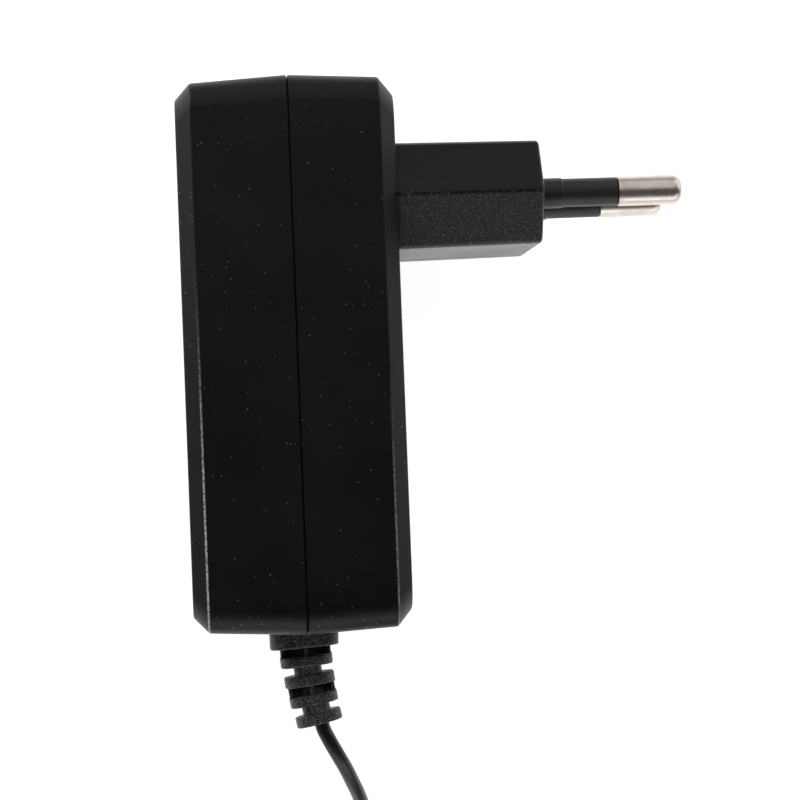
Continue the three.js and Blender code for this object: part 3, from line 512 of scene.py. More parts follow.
def post(x_from, x_to, y, z, nub_to):
    """A post from a cover's floor, with its end drawn out into a thinner nub"""
    clear_selection()
    bpy.ops.mesh.primitive_cylinder_add(
        vertices=24, radius=POST_RADIUS, depth=abs(x_to - x_from),
        location=((x_from + x_to) / 2, y, z), rotation=(0, math.pi / 2, 0))
    piece = bpy.context.object
    keep_place()
    open_mesh(piece)
    pick("FACE", lambda f: abs(f.calc_center_median().x - x_to) < GAP / 10)
    bpy.ops.mesh.inset(thickness=POST_RADIUS - POST_NUB)
    pull((nub_to - x_to, 0, 0))
    close_mesh()
    return piece


def posts(half, board_face, nub_to):
    floor_x = seam_x + half["side"] * (half["deep"] - WALL / 2)
    end_x = board_face + half["side"] * GAP
    return [post(floor_x, end_x, y, z, nub_to)
            for y in (board_low.y + POST_FROM_EDGE, board_high.y - POST_FROM_EDGE)
            for z in (board_low.z + POST_FROM_EDGE, board_high.z - POST_FROM_EDGE)]


combine(case_front, posts(FRONT, board_low.x, board_low.x - GAP - NUB_TALL), "UNION")
combine(case_rear, posts(REAR, board_high.x, board_low.x + GAP), "UNION")
for piece in (case_front, case_rear):
    combine(piece, [neck_slot()], "DIFFERENCE")
    report(piece)

# %% [markdown]
# ## The plug housing
#
# The mains plug stands on the rear half: a six-sided block, thicker in the
# middle than at its sides, which fits a recessed socket. It starts as a circle
# of six vertices. Four of them are moved so that the flats have their length,
# the corners are softened, and the outline is pulled out to the plug's face with
# a small taper. Its inside is hollow, with a thick face that two bores pass
# through for the sleeved pins. It is moulded in one with the rear half, so the
# two are joined, and the joint is left crisp, as on the real moulding.

# %% Model the plug housing
PLUG_UP = 20.6 * MM
PLUG_LONG = 19.4 * MM
PLUG_WIDE = 35.3 * MM
PLUG_HIGH = 13.7 * MM
PLUG_FLAT = 25.5 * MM
PLUG_DRAFT = math.radians(0.65)
PLUG_VERTEX = 0.7 * MM
PLUG_EDGE = 0.5 * MM
PLUG_WALL = 2.2 * MM
PLUG_FACE_WALL = 3.0 * MM
rear_face = seam_x + REAR["deep"]
plug_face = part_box("rear_cover")[1].x


def plug_block(name, start, end, wall, edge):
    """The six-sided block between two places along X, a wall thinner all round"""
    clear_selection()
    bpy.ops.mesh.primitive_circle_add(
        vertices=6, radius=PLUG_WIDE / 2, fill_type="NGON",
        location=(end, PLUG_UP, middle_z), rotation=(0, math.pi / 2, 0))
    piece = bpy.context.object
    piece.name = piece.data.name = name
    keep_place()
    centre = Vector((end, PLUG_UP, middle_z))
    open_mesh(piece)
    ring = [vertex.co - centre for vertex in bmesh.from_edit_mesh(piece.data).verts]
    if max(point.y for point in ring) > 0.9 * PLUG_WIDE / 2:
        pick_all()
        bpy.ops.transform.rotate(value=math.pi / 2, orient_axis="X", center_override=centre)
    side = math.atan2(PLUG_HIGH, PLUG_WIDE - PLUG_FLAT)
    half_high = PLUG_HIGH / 2 - wall
    half_wide = PLUG_WIDE / 2 - wall / math.sin(side)
    half_flat = half_wide - half_high / math.tan(side)
    pick("VERT", lambda v: abs(v.co.y - PLUG_UP) > GAP)
    was = max(abs(v.co.z - middle_z)
              for v in bmesh.from_edit_mesh(piece.data).verts if v.select)
    was_high = PLUG_WIDE / 2 * math.sin(math.pi / 3)
    bpy.ops.transform.resize(value=(1, half_high / was_high, half_flat / was),
                             center_override=centre)
    pick("VERT", lambda v: abs(v.co.y - PLUG_UP) < GAP)
    bpy.ops.transform.resize(value=(1, 1, half_wide / (PLUG_WIDE / 2)),
                             center_override=centre)
    pick_all()
    bpy.ops.mesh.bevel(offset=PLUG_VERTEX, segments=4, affect="VERTICES")
    pick_all()
    pull((start - end, 0, 0))
    grow = (end - start) * math.tan(PLUG_DRAFT)
    bpy.ops.transform.resize(
        value=(1, 1 + grow / half_high, 1 + grow / half_wide),
        center_override=(start, PLUG_UP, middle_z))
    pick_all()
    bpy.ops.mesh.normals_make_consistent(inside=False)
    if edge:
        round_edges(lambda e: all(abs(v.co.x - end) < NEAR for v in e.verts), edge, 4)
    close_mesh()
    return piece


housing = plug_block("housing", rear_face - WALL / 2, plug_face, 0, PLUG_EDGE)
room = plug_block("room", rear_face - WALL - GAP, plug_face - PLUG_FACE_WALL,
                  PLUG_WALL, 0)
report(housing)
combine(case_rear, [housing], "UNION")
combine(case_rear, [room], "DIFFERENCE")
report(case_rear)

# %% [markdown]
# ## Pins and sleeves
#
# The pins are turned from brass bar and nickel plated: a thick bare end with a
# round tip, and a thinner shank inside a black sleeve. A lathe shape is drawn as
# a profile and turned about its axis. The profile is a single vertex that is
# extruded from point to point, and spin turns it. Sharp corners of the profile
# are replaced by short arcs first, because no turned edge is truly sharp.

# %% Turned shapes
def soften(profile, radius):
    """The profile with each corner inside it replaced by an arc of three points"""
    points = [Vector(point) for point in profile]
    soft = [points[0]]
    for before, here, after in zip(points, points[1:], points[2:]):
        reach = min(radius, (before - here).length / 2.2, (after - here).length / 2.2)
        start = here + (before - here).normalized() * reach
        end = here + (after - here).normalized() * reach
        soft += [start, start / 4 + here / 2 + end / 4, end]
    return soft + [points[-1]]


def turned(name, profile, steps=48, radius=0.0):
    """A profile of (along, radius) points turned about the X axis"""
    points = soften(profile, radius) if radius else [Vector(point) for point in profile]
    clear_selection()
    bpy.ops.mesh.primitive_plane_add(size=MM, location=(*points[0], 0))
    piece = bpy.context.object
    piece.name = piece.data.name = name
    keep_place()
    bpy.ops.object.mode_set(mode="EDIT")
    bpy.ops.mesh.select_mode(type="VERT")
    pick_all()
    bpy.ops.mesh.merge(type="CENTER")
    for before, here in zip(points, points[1:]):
        bpy.ops.mesh.extrude_vertices_move(
            TRANSFORM_OT_translate={"value": (*(here - before), 0)})
    pick_all()
    bpy.ops.mesh.spin(steps=steps, angle=2 * math.pi, center=(0, 0, 0), axis=(1, 0, 0))
    close_mesh()
    return settle(piece)


PIN_LONG = 19.4 * MM
PIN_RADIUS = 2.0 * MM
PIN_SPACING = 18.6 * MM
PIN_CLOSE_IN = 1.1 * MM
PIN_CORE = 1.2 * MM
PIN_TIP_ROUND = 1.3 * MM
PIN_COLLAR = 2.2 * MM
PIN_COLLAR_LONG = 3.9 * MM
PIN_TAIL = 1.5 * MM  # past the inside of the rear half's floor
PIN_SOFT = 0.1 * MM
SLEEVE_LONG = 10.6 * MM
SLEEVE_RADIUS = 1.9 * MM
SLEEVE_STEP = 0.12 * MM
SLEEVE_ROOT = 3.1 * MM
pin_lean = math.atan(PIN_CLOSE_IN / 2 / PIN_LONG)
pin_tail = rear_face - WALL - PIN_TAIL - plug_face
collar_front = -PLUG_FACE_WALL - 2 * GAP

# %% Turn the pins and sleeves
tip = [(PIN_LONG - PIN_TIP_ROUND * (1 - math.sin(angle)),
        PIN_RADIUS - PIN_TIP_ROUND * (1 - math.cos(angle)))
       for angle in (math.radians(15 * step) for step in range(7))]
pin_profile = [
    (pin_tail, 0), (pin_tail, PIN_CORE), (collar_front - PIN_COLLAR_LONG, PIN_CORE),
    (collar_front - PIN_COLLAR_LONG, PIN_COLLAR), (collar_front, PIN_COLLAR),
    (collar_front, PIN_CORE), (SLEEVE_LONG + GAP / 3, PIN_CORE),
    (SLEEVE_LONG + GAP / 3, PIN_RADIUS), *tip, (PIN_LONG, 0),
]
sleeve_inside = PIN_CORE + GAP
sleeve_root = SLEEVE_RADIUS + SLEEVE_STEP
sleeve_profile = [
    (-PLUG_FACE_WALL, sleeve_inside), (-PLUG_FACE_WALL, sleeve_root),
    (SLEEVE_ROOT, sleeve_root), (SLEEVE_ROOT + SLEEVE_STEP, SLEEVE_RADIUS),
    (SLEEVE_LONG, SLEEVE_RADIUS), (SLEEVE_LONG, sleeve_inside),
    (-PLUG_FACE_WALL, sleeve_inside),
]


def pin_stand(side):
    """The place and lean of the pin on one side, at the plug's face"""
    stand = Matrix.Translation((plug_face, PLUG_UP, middle_z + side * PIN_SPACING / 2))
    return stand @ Matrix.Rotation(side * pin_lean, 4, "Y")


for name, side in (("upper", 1), ("lower", -1)):
    pin = turned(f"pin_{name}", pin_profile, radius=PIN_SOFT)
    sleeve = turned(f"sleeve_{name}", sleeve_profile, radius=SLEEVE_STEP)
    stand_in(settle(pin, pin_stand(side)), "pin_nickel", f"contact_pin_{name}")
    stand_in(settle(sleeve, pin_stand(side)), "sleeve_black", f"pin_sleeve_{name}")

# %% [markdown]
# Each sleeved pin passes the plug's face through a bore with a small gap round
# it. The bores lean with the pins, so the cutters are placed as the pins are.

# %% Cut the bores and finish the case halves
BORE_GAP = 0.1 * MM
bore_radius = sleeve_root + BORE_GAP
bore_profile = [(-2 * PLUG_FACE_WALL, 0), (-2 * PLUG_FACE_WALL, bore_radius),
                (PLUG_FACE_WALL, bore_radius), (PLUG_FACE_WALL, 0)]
bores = [settle(turned("bore", bore_profile), pin_stand(side)) for side in (1, -1)]
combine(case_rear, bores, "DIFFERENCE")
stand_in(case_front, "case_black", "front_cover")
stand_in(case_rear, "case_black", "rear_cover")

# %% [markdown]
# ## The strain relief
#
# Where the lead leaves the case, a soft moulding spreads its bending: a collar,
# then four rings on a tube, with webs between them that are wide on two gaps and
# thin on the other two. The whole moulding leans and curves the way the lead
# goes. Bending one finished mesh is one way, but the bend tool needs a window,
# so each ring and web is placed and turned on the curve by itself, and all are
# joined to the tube.

# %% Place things on the relief's curve
COLLAR_WIDE = 9.3 * MM
COLLAR_DEEP = 7.6 * MM
COLLAR_THICK = 1.9 * MM
FLANGE_THICK = 1.6 * MM
FLANGE_LIP = 1.3 * MM
RING_COUNT = 4
RING_THICK = 1.5 * MM
RING_PITCH = 2.62 * MM
FIRST_RING = 3.06 * MM
RING_WIDE = (7.1 * MM, 6.3 * MM)  # first and last
RING_DEEP = (6.1 * MM, 5.3 * MM)
RELIEF_TUBE = 1.9 * MM
RELIEF_LEAN = 0.045
RELIEF_CURVE = 0.0095 / MM
RING_FOLLOW = 0.85
SECTION_ROUND = 2.2 * MM
RING_SOFT = 0.22 * MM
RELIEF_SEGMENTS = (7, 3)  # of a section's corners, and of its soft edges
collar_top = case_end - GAP
collar_middle = collar_top - COLLAR_THICK / 2


def relief_axis(down):
    """Where the relief's axis is, so far below the middle of its collar"""
    lean = RELIEF_LEAN * down + RELIEF_CURVE * down * down if down > 0 else 0.0
    return Vector((seam_x + lean, collar_middle - down, middle_z))


def lean_here(down):
    """Turns and shifts a piece drawn at the collar's middle to its place"""
    slope = RELIEF_LEAN + 2 * RELIEF_CURVE * down if down > 0 else 0.0
    angle = math.atan(slope * RING_FOLLOW)
    return Matrix.Translation(relief_axis(down)) @ Matrix.Rotation(angle, 4, "Z")


def relief_slab(wide, deep, down, thick, corner, edge=RING_SOFT):
    piece = slab("relief", "Y", (0, 0, 0), (wide, 1, deep), thick, corner, edge,
                 *RELIEF_SEGMENTS)
    return settle(piece, lean_here(down))


# %% Model the strain relief
COLLAR_WEDGE = math.radians(3.5)  # its lower face leans the way the lead goes
WEB_IN = 0.15 * MM
FACE_RIB = 0.55 * MM
FACE_WEB = 1.65 * MM
SIDE_WEB = 0.5 * MM
SIDE_WEB_DEEP = 3.4 * MM
MIDDLE_WEB = 0.9 * MM
OVERLAP = 0.5 * MM
TUBE_STEPS = 12
flange_down = collar_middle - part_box("strain_relief")[1].y + FLANGE_THICK / 2

relief = relief_slab(COLLAR_WIDE, COLLAR_DEEP, 0, COLLAR_THICK, SECTION_ROUND)
relief.name = relief.data.name = "strain_relief_moulding"
open_mesh(relief)
pick("VERT", lambda v: v.co.y < collar_middle)
bpy.ops.transform.rotate(value=-COLLAR_WEDGE, orient_axis="Z", center_override=(
    seam_x + COLLAR_WIDE / 2, collar_middle - COLLAR_THICK / 2, middle_z))
close_mesh()
extra = [
    relief_slab(NECK_WIDE + 2 * FLANGE_LIP, NECK_DEEP + 2 * FLANGE_LIP, flange_down,
                FLANGE_THICK, SECTION_ROUND),
    relief_slab(NECK_WIDE, NECK_DEEP, flange_down / 2, -flange_down, NECK_ROUND, 0),
]
above = COLLAR_THICK / 2
for ring in range(RING_COUNT):
    share = ring / (RING_COUNT - 1)
    wide = RING_WIDE[0] + (RING_WIDE[1] - RING_WIDE[0]) * share
    deep = RING_DEEP[0] + (RING_DEEP[1] - RING_DEEP[0]) * share
    down = FIRST_RING + ring * RING_PITCH
    extra.append(relief_slab(wide, deep, down, RING_THICK, SECTION_ROUND))
    web_middle = (above + down - RING_THICK / 2) / 2
    web_tall = down - RING_THICK / 2 - above + OVERLAP
    if ring % 2:
        webs = [(FACE_WEB, deep - 2 * WEB_IN, 0)]
    else:
        out = wide / 2 - WEB_IN - SIDE_WEB / 2
        webs = [(FACE_RIB, deep - 2 * WEB_IN, 0), (SIDE_WEB, SIDE_WEB_DEEP, out),
                (SIDE_WEB, SIDE_WEB_DEEP, -out), (2 * out, MIDDLE_WEB, 0)]
    for web_wide, web_deep, out in webs:
        web = slab("web", "Y", (out, 0, 0), (web_wide, 1, web_deep), web_tall,
                   min(web_wide, web_deep) / 10, segments=2)
        extra.append(settle(web, lean_here(web_middle)))
    above = down + RING_THICK / 2

depths = [above * step / TUBE_STEPS for step in range(TUBE_STEPS)]
depths.append(above - 5 * NEAR)  # ends just inside the last ring
core = smooth_curve("relief_tube", [relief_axis(down) for down in depths], RELIEF_TUBE)
core.data.bevel_resolution = 8
take(core)
bpy.ops.object.convert(target="MESH")
extra.append(settle(bpy.context.object))
combine(relief, extra, "UNION")
stand_in(relief, "relief_black", "strain_relief")

# %% [markdown]
# ## The coil's tie
#
# A flat strap holds the turns together on the side away from the supply. Its
# outline walks round like the case's, out over the strap and back along its
# inside, and the two ends of the walk are bridged. A short tab with round
# corners lies on the outside, where the strap is fastened.

# %% Model the tie
STRAP_WIDE = 3.0 * MM
STRAP_THICK = 0.7 * MM
STRAP_ROUND = 1.6 * MM
STRAP_SOFT = 0.15 * MM
TAB_LONG = 4.2 * MM
TAB_THICK = 0.9 * MM
TAB_ROUND = 1.2 * MM


def band(name, start, end, long, wide, wall, corner, centre=(0.0, 0.0), soft=0.08 * MM):
    """A closed band round the X axis, with an even wall and soft edges"""
    piece, walk = outline(name, (start, *centre), long, wide, corner)
    walk.to(end, 0.0)
    walk.to(end, wall)
    walk.to(start, wall)
    pick("EDGE", lambda e: e.is_boundary)
    bpy.ops.mesh.bridge_edge_loops()
    settle(piece)
    open_mesh(piece)
    round_edges(lambda e: e.link_faces[0].normal.dot(e.link_faces[1].normal) < 0.5,
                soft, 3)
    close_mesh()
    return piece


tie_low, tie_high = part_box("cord_tie")
tie_middle = (tie_low + tie_high) / 2
tie = band("coil_tie", -STRAP_WIDE / 2, STRAP_WIDE / 2, tie_high.x - tie_low.x,
           tie_high.z - tie_low.z, STRAP_THICK, STRAP_ROUND, soft=STRAP_SOFT)
settle(tie, Matrix.Translation(tie_middle) @ Matrix.Rotation(math.pi / 2, 4, "Z"))
tab = slab("tab", "X", (tie_high.x, tie_middle.y, tie_middle.z),
           (1, STRAP_WIDE, TAB_LONG), TAB_THICK, TAB_ROUND, STRAP_SOFT)
combine(tie, [settle(tab)], "UNION")
stand_in(tie, "tie_black", "cord_tie")

# %% [markdown]
# ## The USB plug
#
# The lead ends in a small reversible USB plug: a ribbed relief, a rounded grip
# with a shallow thumb recess on both faces, a drawn steel shell with round ends
# and a black insert with two rows of contacts. The grip is a slab with soft
# edges whose two broad faces are inset and pushed in. The shell and the insert
# are bands.

# %% Turn the USB plug's ribbed relief
relief_low, relief_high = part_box("usb_relief")
grip_low, grip_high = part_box("usb_grip")
shell_low, shell_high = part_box("usb_shell")
insert_low, insert_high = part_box("usb_insert")
usb_y, usb_z = (grip_low.y + grip_high.y) / 2, (grip_low.z + grip_high.z) / 2

RIBS = 4
RIB_RADIUS = (1.5 * MM, 2.4 * MM)  # first and last
RIB_SOFT = 0.12 * MM
GROOVE = 0.5 * MM
GROOVE_DEEP = 0.35 * MM
rib_pitch = (relief_high.x - relief_low.x) / RIBS
usb_profile = [(0, 0)]
for rib in range(RIBS):
    radius = RIB_RADIUS[0] + (RIB_RADIUS[1] - RIB_RADIUS[0]) * rib / (RIBS - 1)
    end = (rib + 1) * rib_pitch
    usb_profile.append((rib * rib_pitch, radius))
    if rib < RIBS - 1:
        usb_profile += [(end - GROOVE, radius), (end - GROOVE, radius - GROOVE_DEEP),
                        (end, radius - GROOVE_DEEP)]
    else:
        usb_profile += [(end, radius), (end, 0)]
usb_relief = turned("usb_relief_ribs", usb_profile, 40, RIB_SOFT)
settle(usb_relief, Matrix.Translation((relief_low.x, usb_y, usb_z)))

print("ribbed relief turned from", len(usb_profile), "points")

# %% Mould the grip
GRIP_CORNER = 2.2 * MM
GRIP_EDGE = 0.8 * MM
THUMB_INSET = 1.6 * MM
THUMB_DEEP = 0.3 * MM
THUMB_DRAFT = (0.97, 0.9, 1)
BROAD_FACE = 20 * MM * MM
grip_size = grip_high - grip_low
usb_grip, walk = outline("usb_grip_moulding", (grip_low.x, usb_y, usb_z),
                         grip_size.y, grip_size.z, GRIP_CORNER, segments=8)
walk.resize(grip_low.x, GRIP_EDGE)
walk.close()
arc = [(GRIP_EDGE * (1 - math.cos(angle)), GRIP_EDGE * (1 - math.sin(angle)))
       for angle in (math.radians(18 * step) for step in range(6))]
for along, inset in arc[1:]:
    walk.to(grip_low.x + along, inset)
for along, inset in reversed(arc):
    walk.to(grip_high.x - along, inset)
walk.close()
settle(usb_grip)
for way in (1, -1):
    open_mesh(usb_grip)
    pick("FACE", lambda f: f.normal.z * way > 0.99 and f.calc_area() > BROAD_FACE)
    bpy.ops.mesh.inset(thickness=THUMB_INSET)
    pull((0, 0, -way * THUMB_DEEP))
    bpy.ops.transform.resize(value=THUMB_DRAFT,
                             center_override=(grip_low + grip_high) / 2)
    close_mesh()

print("grip", [round(side / MM, 2) for side in grip_size], "mm")

# %% Draw the shell and mould the insert
SHELL_WALL = 0.28 * MM
INSERT_WALL = 0.25 * MM
INSERT_SOFT = 0.05 * MM
ROUND_END = 0.49  # of the height, for a corner that takes up nearly half of it
shell_size = shell_high - shell_low
usb_shell = band("usb_shell_drawn", shell_low.x, shell_high.x, shell_size.y,
                 shell_size.z, SHELL_WALL, ROUND_END * shell_size.z, (usb_y, usb_z))
insert_size = insert_high - insert_low
usb_insert = band("usb_insert_moulding", insert_low.x, insert_high.x, insert_size.y,
                  insert_size.z, INSERT_WALL, ROUND_END * insert_size.z,
                  (usb_y, usb_z), INSERT_SOFT)
print("shell", [round(side / MM, 2) for side in shell_size], "mm")

# %% Make one contact and copy it along both rows
CONTACTS = 12
CONTACT_PITCH = 0.5 * MM
CONTACT_SIZE = Vector((3.4, 0.27, 0.16)) * MM
CONTACT_BACK = 0.6 * MM  # from the insert's mouth
CONTACT_SOFT = 0.03 * MM
contact_z = insert_size.z / 2 - INSERT_WALL
first_contact = (insert_high.x - CONTACT_BACK - CONTACT_SIZE.x / 2,
                 usb_y - CONTACT_PITCH * (CONTACTS - 1) / 2, usb_z + contact_z)
usb_contacts = slab("usb_contacts", "Z", first_contact, (*CONTACT_SIZE.xy, 1),
                    CONTACT_SIZE.z, CONTACT_SIZE.y / 3, CONTACT_SOFT, 2, 1)
for count, step in ((CONTACTS, (0, CONTACT_PITCH, 0)), (2, (0, 0, -2 * contact_z))):
    apply_modifier(usb_contacts, "ARRAY", count=count, use_relative_offset=False,
                   use_constant_offset=True, constant_offset_displace=step)
settle(usb_contacts)

stand_in(usb_relief, "relief_black", "usb_relief")
stand_in(usb_grip, "usb_black", "usb_grip")
stand_in(usb_shell, "usb_steel", "usb_shell")
stand_in(usb_insert, "package_black", "usb_insert")
stand_in(usb_contacts, "spring_brass")

# %% [markdown]
# ## A bench for finishes
#
# A finish is a tree of nodes. The sums in it are easier to read as sums, so a
# small class stands for a number on its way between two nodes, and adding or
# multiplying such numbers adds the Math nodes. Every pattern is made from Object
# coordinates in millimetres. All pieces lie at the origin in one frame, so a
# pattern has the same scale everywhere and stays on its piece.

# %% Numbers on their way between nodes
class Value:
    """An output of a node, used like a number"""

    def __init__(self, finish, socket):
        self.finish, self.socket = finish, socket

    def maths(self, operation, first, second=0.0, **settings):
        return self.finish.node("ShaderNodeMath", {"operation": operation, **settings},
                                {0: first, 1: second})

    def __add__(self, other):
        return self.maths("ADD", self, other)

    def __sub__(self, other):
        return self.maths("SUBTRACT", self, other)

    def __mul__(self, other):
        return self.maths("MULTIPLY", self, other)

    def __rsub__(self, other):
        return self.maths("SUBTRACT", other, self)

    __radd__, __rmul__ = __add__, __mul__

    def __abs__(self):
        return self.maths("ABSOLUTE", self)

    def wave(self):
        """A sine of the number, from 0 to 1"""
        return self.maths("SINE", self) * 0.5 + 0.5

    def capped(self):
        return self.maths("ADD", self, 0.0, use_clamp=True)

    def between(self, start, end):
        """0 at start, 1 at end, and smooth from one to the other"""
        return self.finish.node(
            "ShaderNodeMapRange", {"interpolation_type": "SMOOTHSTEP"},
            {"Value": self, "From Min": start, "From Max": end})

    def other(self, output):
        """Another output of the same node"""
        return Value(self.finish, self.socket.node.outputs[output])


class Tree:
    """The node tree of a material or of the world, emptied"""

    def __init__(self, owner):
        owner.use_nodes = True
        self.nodes, self.links = owner.node_tree.nodes, owner.node_tree.links
        self.nodes.clear()

    def node(self, kind, settings, inputs, output=0):
        """Makes a node: its settings first, then the values or links of its sockets"""
        made = self.nodes.new(kind)
        for name, value in settings.items():
            setattr(made, name, value)
        for name, value in inputs.items():
            self.feed(made.inputs[name], value)
        return None if output is None else Value(self, made.outputs[output])

    def feed(self, socket, value):
        if isinstance(value, Value):
            self.links.new(value.socket, socket)
        elif isinstance(value, tuple) and socket.type == "RGBA":
            socket.default_value = (*value, 1)
        else:
            socket.default_value = value


class Finish(Tree):
    """A material: one shader, and the nodes that feed it"""

    def __init__(self, name, **constants):
        self.material = bpy.data.materials.new(name)
        super().__init__(self.material)
        shader = self.node("ShaderNodeBsdfPrincipled", {}, {
            socket.replace("_", " "): value for socket, value in constants.items()})
        self.shader = shader.socket.node
        self.node("ShaderNodeOutputMaterial", {}, {"Surface": shader}, None)
        self.place = self.node("ShaderNodeVectorMath", {"operation": "SCALE"}, {
            0: self.node("ShaderNodeTexCoord", {}, {}, "Object"), "Scale": 1 / MM})

    def axis(self, letter):
        """One coordinate, in millimetres"""
        return self.node("ShaderNodeSeparateXYZ", {}, {0: self.place}, letter)

    def stretched(self, x, y, z):
        """The place with each axis drawn out or drawn in"""
        return self.node("ShaderNodeVectorMath", {"operation": "MULTIPLY"},
                         {0: self.place, 1: (x, y, z)})

    def noise(self, scale, detail=2.0, rough=0.5, place=None):
        """Cloudy noise, with so many lumps to a millimetre"""
        return self.node("ShaderNodeTexNoise", {}, {
            "Vector": place or self.place, "Scale": scale, "Detail": detail,
            "Roughness": rough})

    def specks(self, scale, radius, share):
        """Round specks: so many cells to a millimetre, and the share that has one"""
        cells = self.node("ShaderNodeTexVoronoi", {}, {
            "Vector": self.place, "Scale": scale})
        lucky = self.node("ShaderNodeSeparateColor", {}, {0: cells.other("Color")})
        size = lucky.other("Green") * (radius * scale)
        return (size - cells).between(0, radius * scale / 4) * lucky.between(
            1 - share, 1 - share + 0.02)

    def mix(self, share, first, second):
        """A colour part of the way from the first to the second"""
        return self.node("ShaderNodeMix", {"data_type": "RGBA"},
                         {0: share, 6: first, 7: second}, 2)

    def bump(self, height, tall):
        """A normal from a height between 0 and 1, for a relief of so many mm"""
        return self.node("ShaderNodeBump", {}, {"Height": height, "Distance": tall * MM})

    def wear(self, **sockets):
        """Feeds the shader, and returns the finished material"""
        for name, value in sockets.items():
            self.feed(self.shader.inputs[name.replace("_", " ")], value)
        return self.material


def paint(piece, material):
    piece.data.materials.clear()
    piece.data.materials.append(material)


print("finish bench ready")

# %% [markdown]
# ## The case's plastic
#
# The case is a satin black moulding with a very fine grain, and it has been
# carried about. The colour is a near black with a slow change of tone. Dust lies
# on it as tiny pale specks. Along the edges between the sides and the chamfers a
# pale broken line is painted as a painted highlight, stronger towards the lead's
# end. The grain is coarser on the plug housing, whose mould was spark eroded, and
# on the housing's lower half its tops are painted pale as painted glints. Each of
# these is a mask from a coordinate or a pattern, and the masks mix the colours.

# %% Make the case's plastic
CASE_BLACK = (0.0034, 0.0033, 0.0034)
CASE_DUSKY = (0.0062, 0.0059, 0.0057)
# Pale colour of the painted edge highlight and the painted glints, and of the real chafed
# specks
HIGHLIGHT_AND_CHAFE = (0.72, 0.71, 0.70)
DUST = (0.42, 0.41, 0.41)
HIGHLIGHT_REACH = (0.19, 0.05)  # mm from an edge: where the painted highlight begins, and where it is full
HIGHLIGHT_EDGES = ((FRONT, 16, 1.0), (REAR, 2, 0.38))  # half, top of the painted highlight, strength
CHAFED_END = (4.2, 1.2)  # mm above the case's lower end
CASE_GRAIN = 0.03  # mm tall


def case_plastic():
    finish = Finish("case_plastic", IOR=1.36)
    x, y = finish.axis("X"), finish.axis("Y")
    on_plug = x.between(rear_face / MM + 0.1, rear_face / MM + 0.5)
    tone = finish.noise(0.09, 3).between(0.35, 0.7)
    grain = finish.noise(6.5, 2)
    below = y.between(PLUG_UP / MM + 0.3, PLUG_UP / MM - 0.3)
    grit = finish.noise(3.9, 3, 0.7)
    broken = finish.noise(3.2, 4, 0.65)
    # Painted highlight: a pale broken line along each edge between side and chamfer,
    # stronger towards the lead's end
    edge_highlight = 0.0
    for half, from_y, strength in HIGHLIGHT_EDGES:
        edge = (seam_x + half["side"] * (half["deep"] - half["chamfer_deep"])) / MM
        near = abs(x - edge - half["side"] * 0.05).between(*HIGHLIGHT_REACH)
        low_down = y.between(from_y, case_end / MM + 12)
        edge_highlight = edge_highlight + near * (low_down * (0.45 + low_down * 0.55)) * strength
    edge_highlight = (edge_highlight * (0.25 + broken.between(0.42, 0.58))).capped()
    end = case_end / MM
    low_end = y.between(end + CHAFED_END[0], end + CHAFED_END[1]) * (1 - on_plug)
    chafed = low_end * finish.specks(1.9, 0.11, 0.5)
    dust = (finish.specks(1.3, 0.08, 0.8) + finish.specks(0.32, 0.12, 0.22)) * (
        1 - on_plug * 0.8)
    # Painted glints: grain tops painted pale only on the plug housing's lower half, the
    # side that faces the light
    plug_glints = on_plug * below * grit.between(0.53, 0.66)
    # The pale share mixes the painted highlight and painted glints with the real chafed
    # specks
    pale = (edge_highlight + chafed * 0.6 + plug_glints * 0.15).capped()
    colour = finish.mix(tone, CASE_BLACK, CASE_DUSKY)
    colour = finish.mix(pale, colour, HIGHLIGHT_AND_CHAFE)
    colour = finish.mix(dust, colour, DUST)
    roughness = 0.40 + tone * 0.06 + grain * 0.06 + pale * 0.2 - on_plug * 0.16
    height = grain * 0.3 + grit * on_plug * (0.3 + below * 3.2) + edge_highlight * 0.3
    return finish.wear(Base_Color=colour, Roughness=roughness,
                       Normal=finish.bump(height, CASE_GRAIN))


case_material = case_plastic()
for piece in (case_front, case_rear):
    paint(piece, case_material)
print(case_material.name, len(case_material.node_tree.nodes), "nodes")

# %% [markdown]
# ## Other mouldings
#
# The sleeves, the strain relief, the lead, the USB grip and the parts inside are
# all moulded, so one recipe serves: a colour that drifts between two tones, a
# share of pale specks, and a grain that roughens and lifts the surface. They
# differ in the numbers. The relief is the most speckled, because soft vinyl
# collects lint, and its grain's tops are also painted pale as painted glints.
# The lead's jacket is smoother and shines a little.

# %% Make the moulded finishes
def moulded(name, colours, roughness, grain_scale, grain_tall, specks=0.0,
            speck_size=0.06, painted_glint=None, **constants):
    """A glint colour, if given, is painted on the grain's tops where they stand out, as a
    painted glint
    """
    finish = Finish(name, **constants)
    tone = finish.noise(0.35, 3).between(0.3, 0.7)
    grain = finish.noise(grain_scale, 3, 0.6)
    colour = finish.mix(tone, *colours)
    rough = roughness + (grain - 0.5) * 0.25
    height = grain
    # Painted glints: the grain's tops take a pale colour
    if painted_glint:
        tops = finish.noise(4.6, 3, 0.65).between(0.47, 0.66)
        colour = finish.mix(tops, colour, painted_glint)
        height = height + tops * 0.5
    if specks:
        lint = finish.specks(1.3, speck_size, specks)
        colour = finish.mix(lint * 0.7, colour, DUST)
        rough = rough + lint * 0.2
        height = height + lint * 0.5
    return finish.wear(Base_Color=colour, Roughness=rough,
                       Normal=finish.bump(height, grain_tall))


sleeve_material = moulded("sleeve_plastic", ((0.014, 0.0125, 0.013),
                                             (0.026, 0.024, 0.0245)),
                          0.46, 8.0, 0.012, 0.1, 0.05)
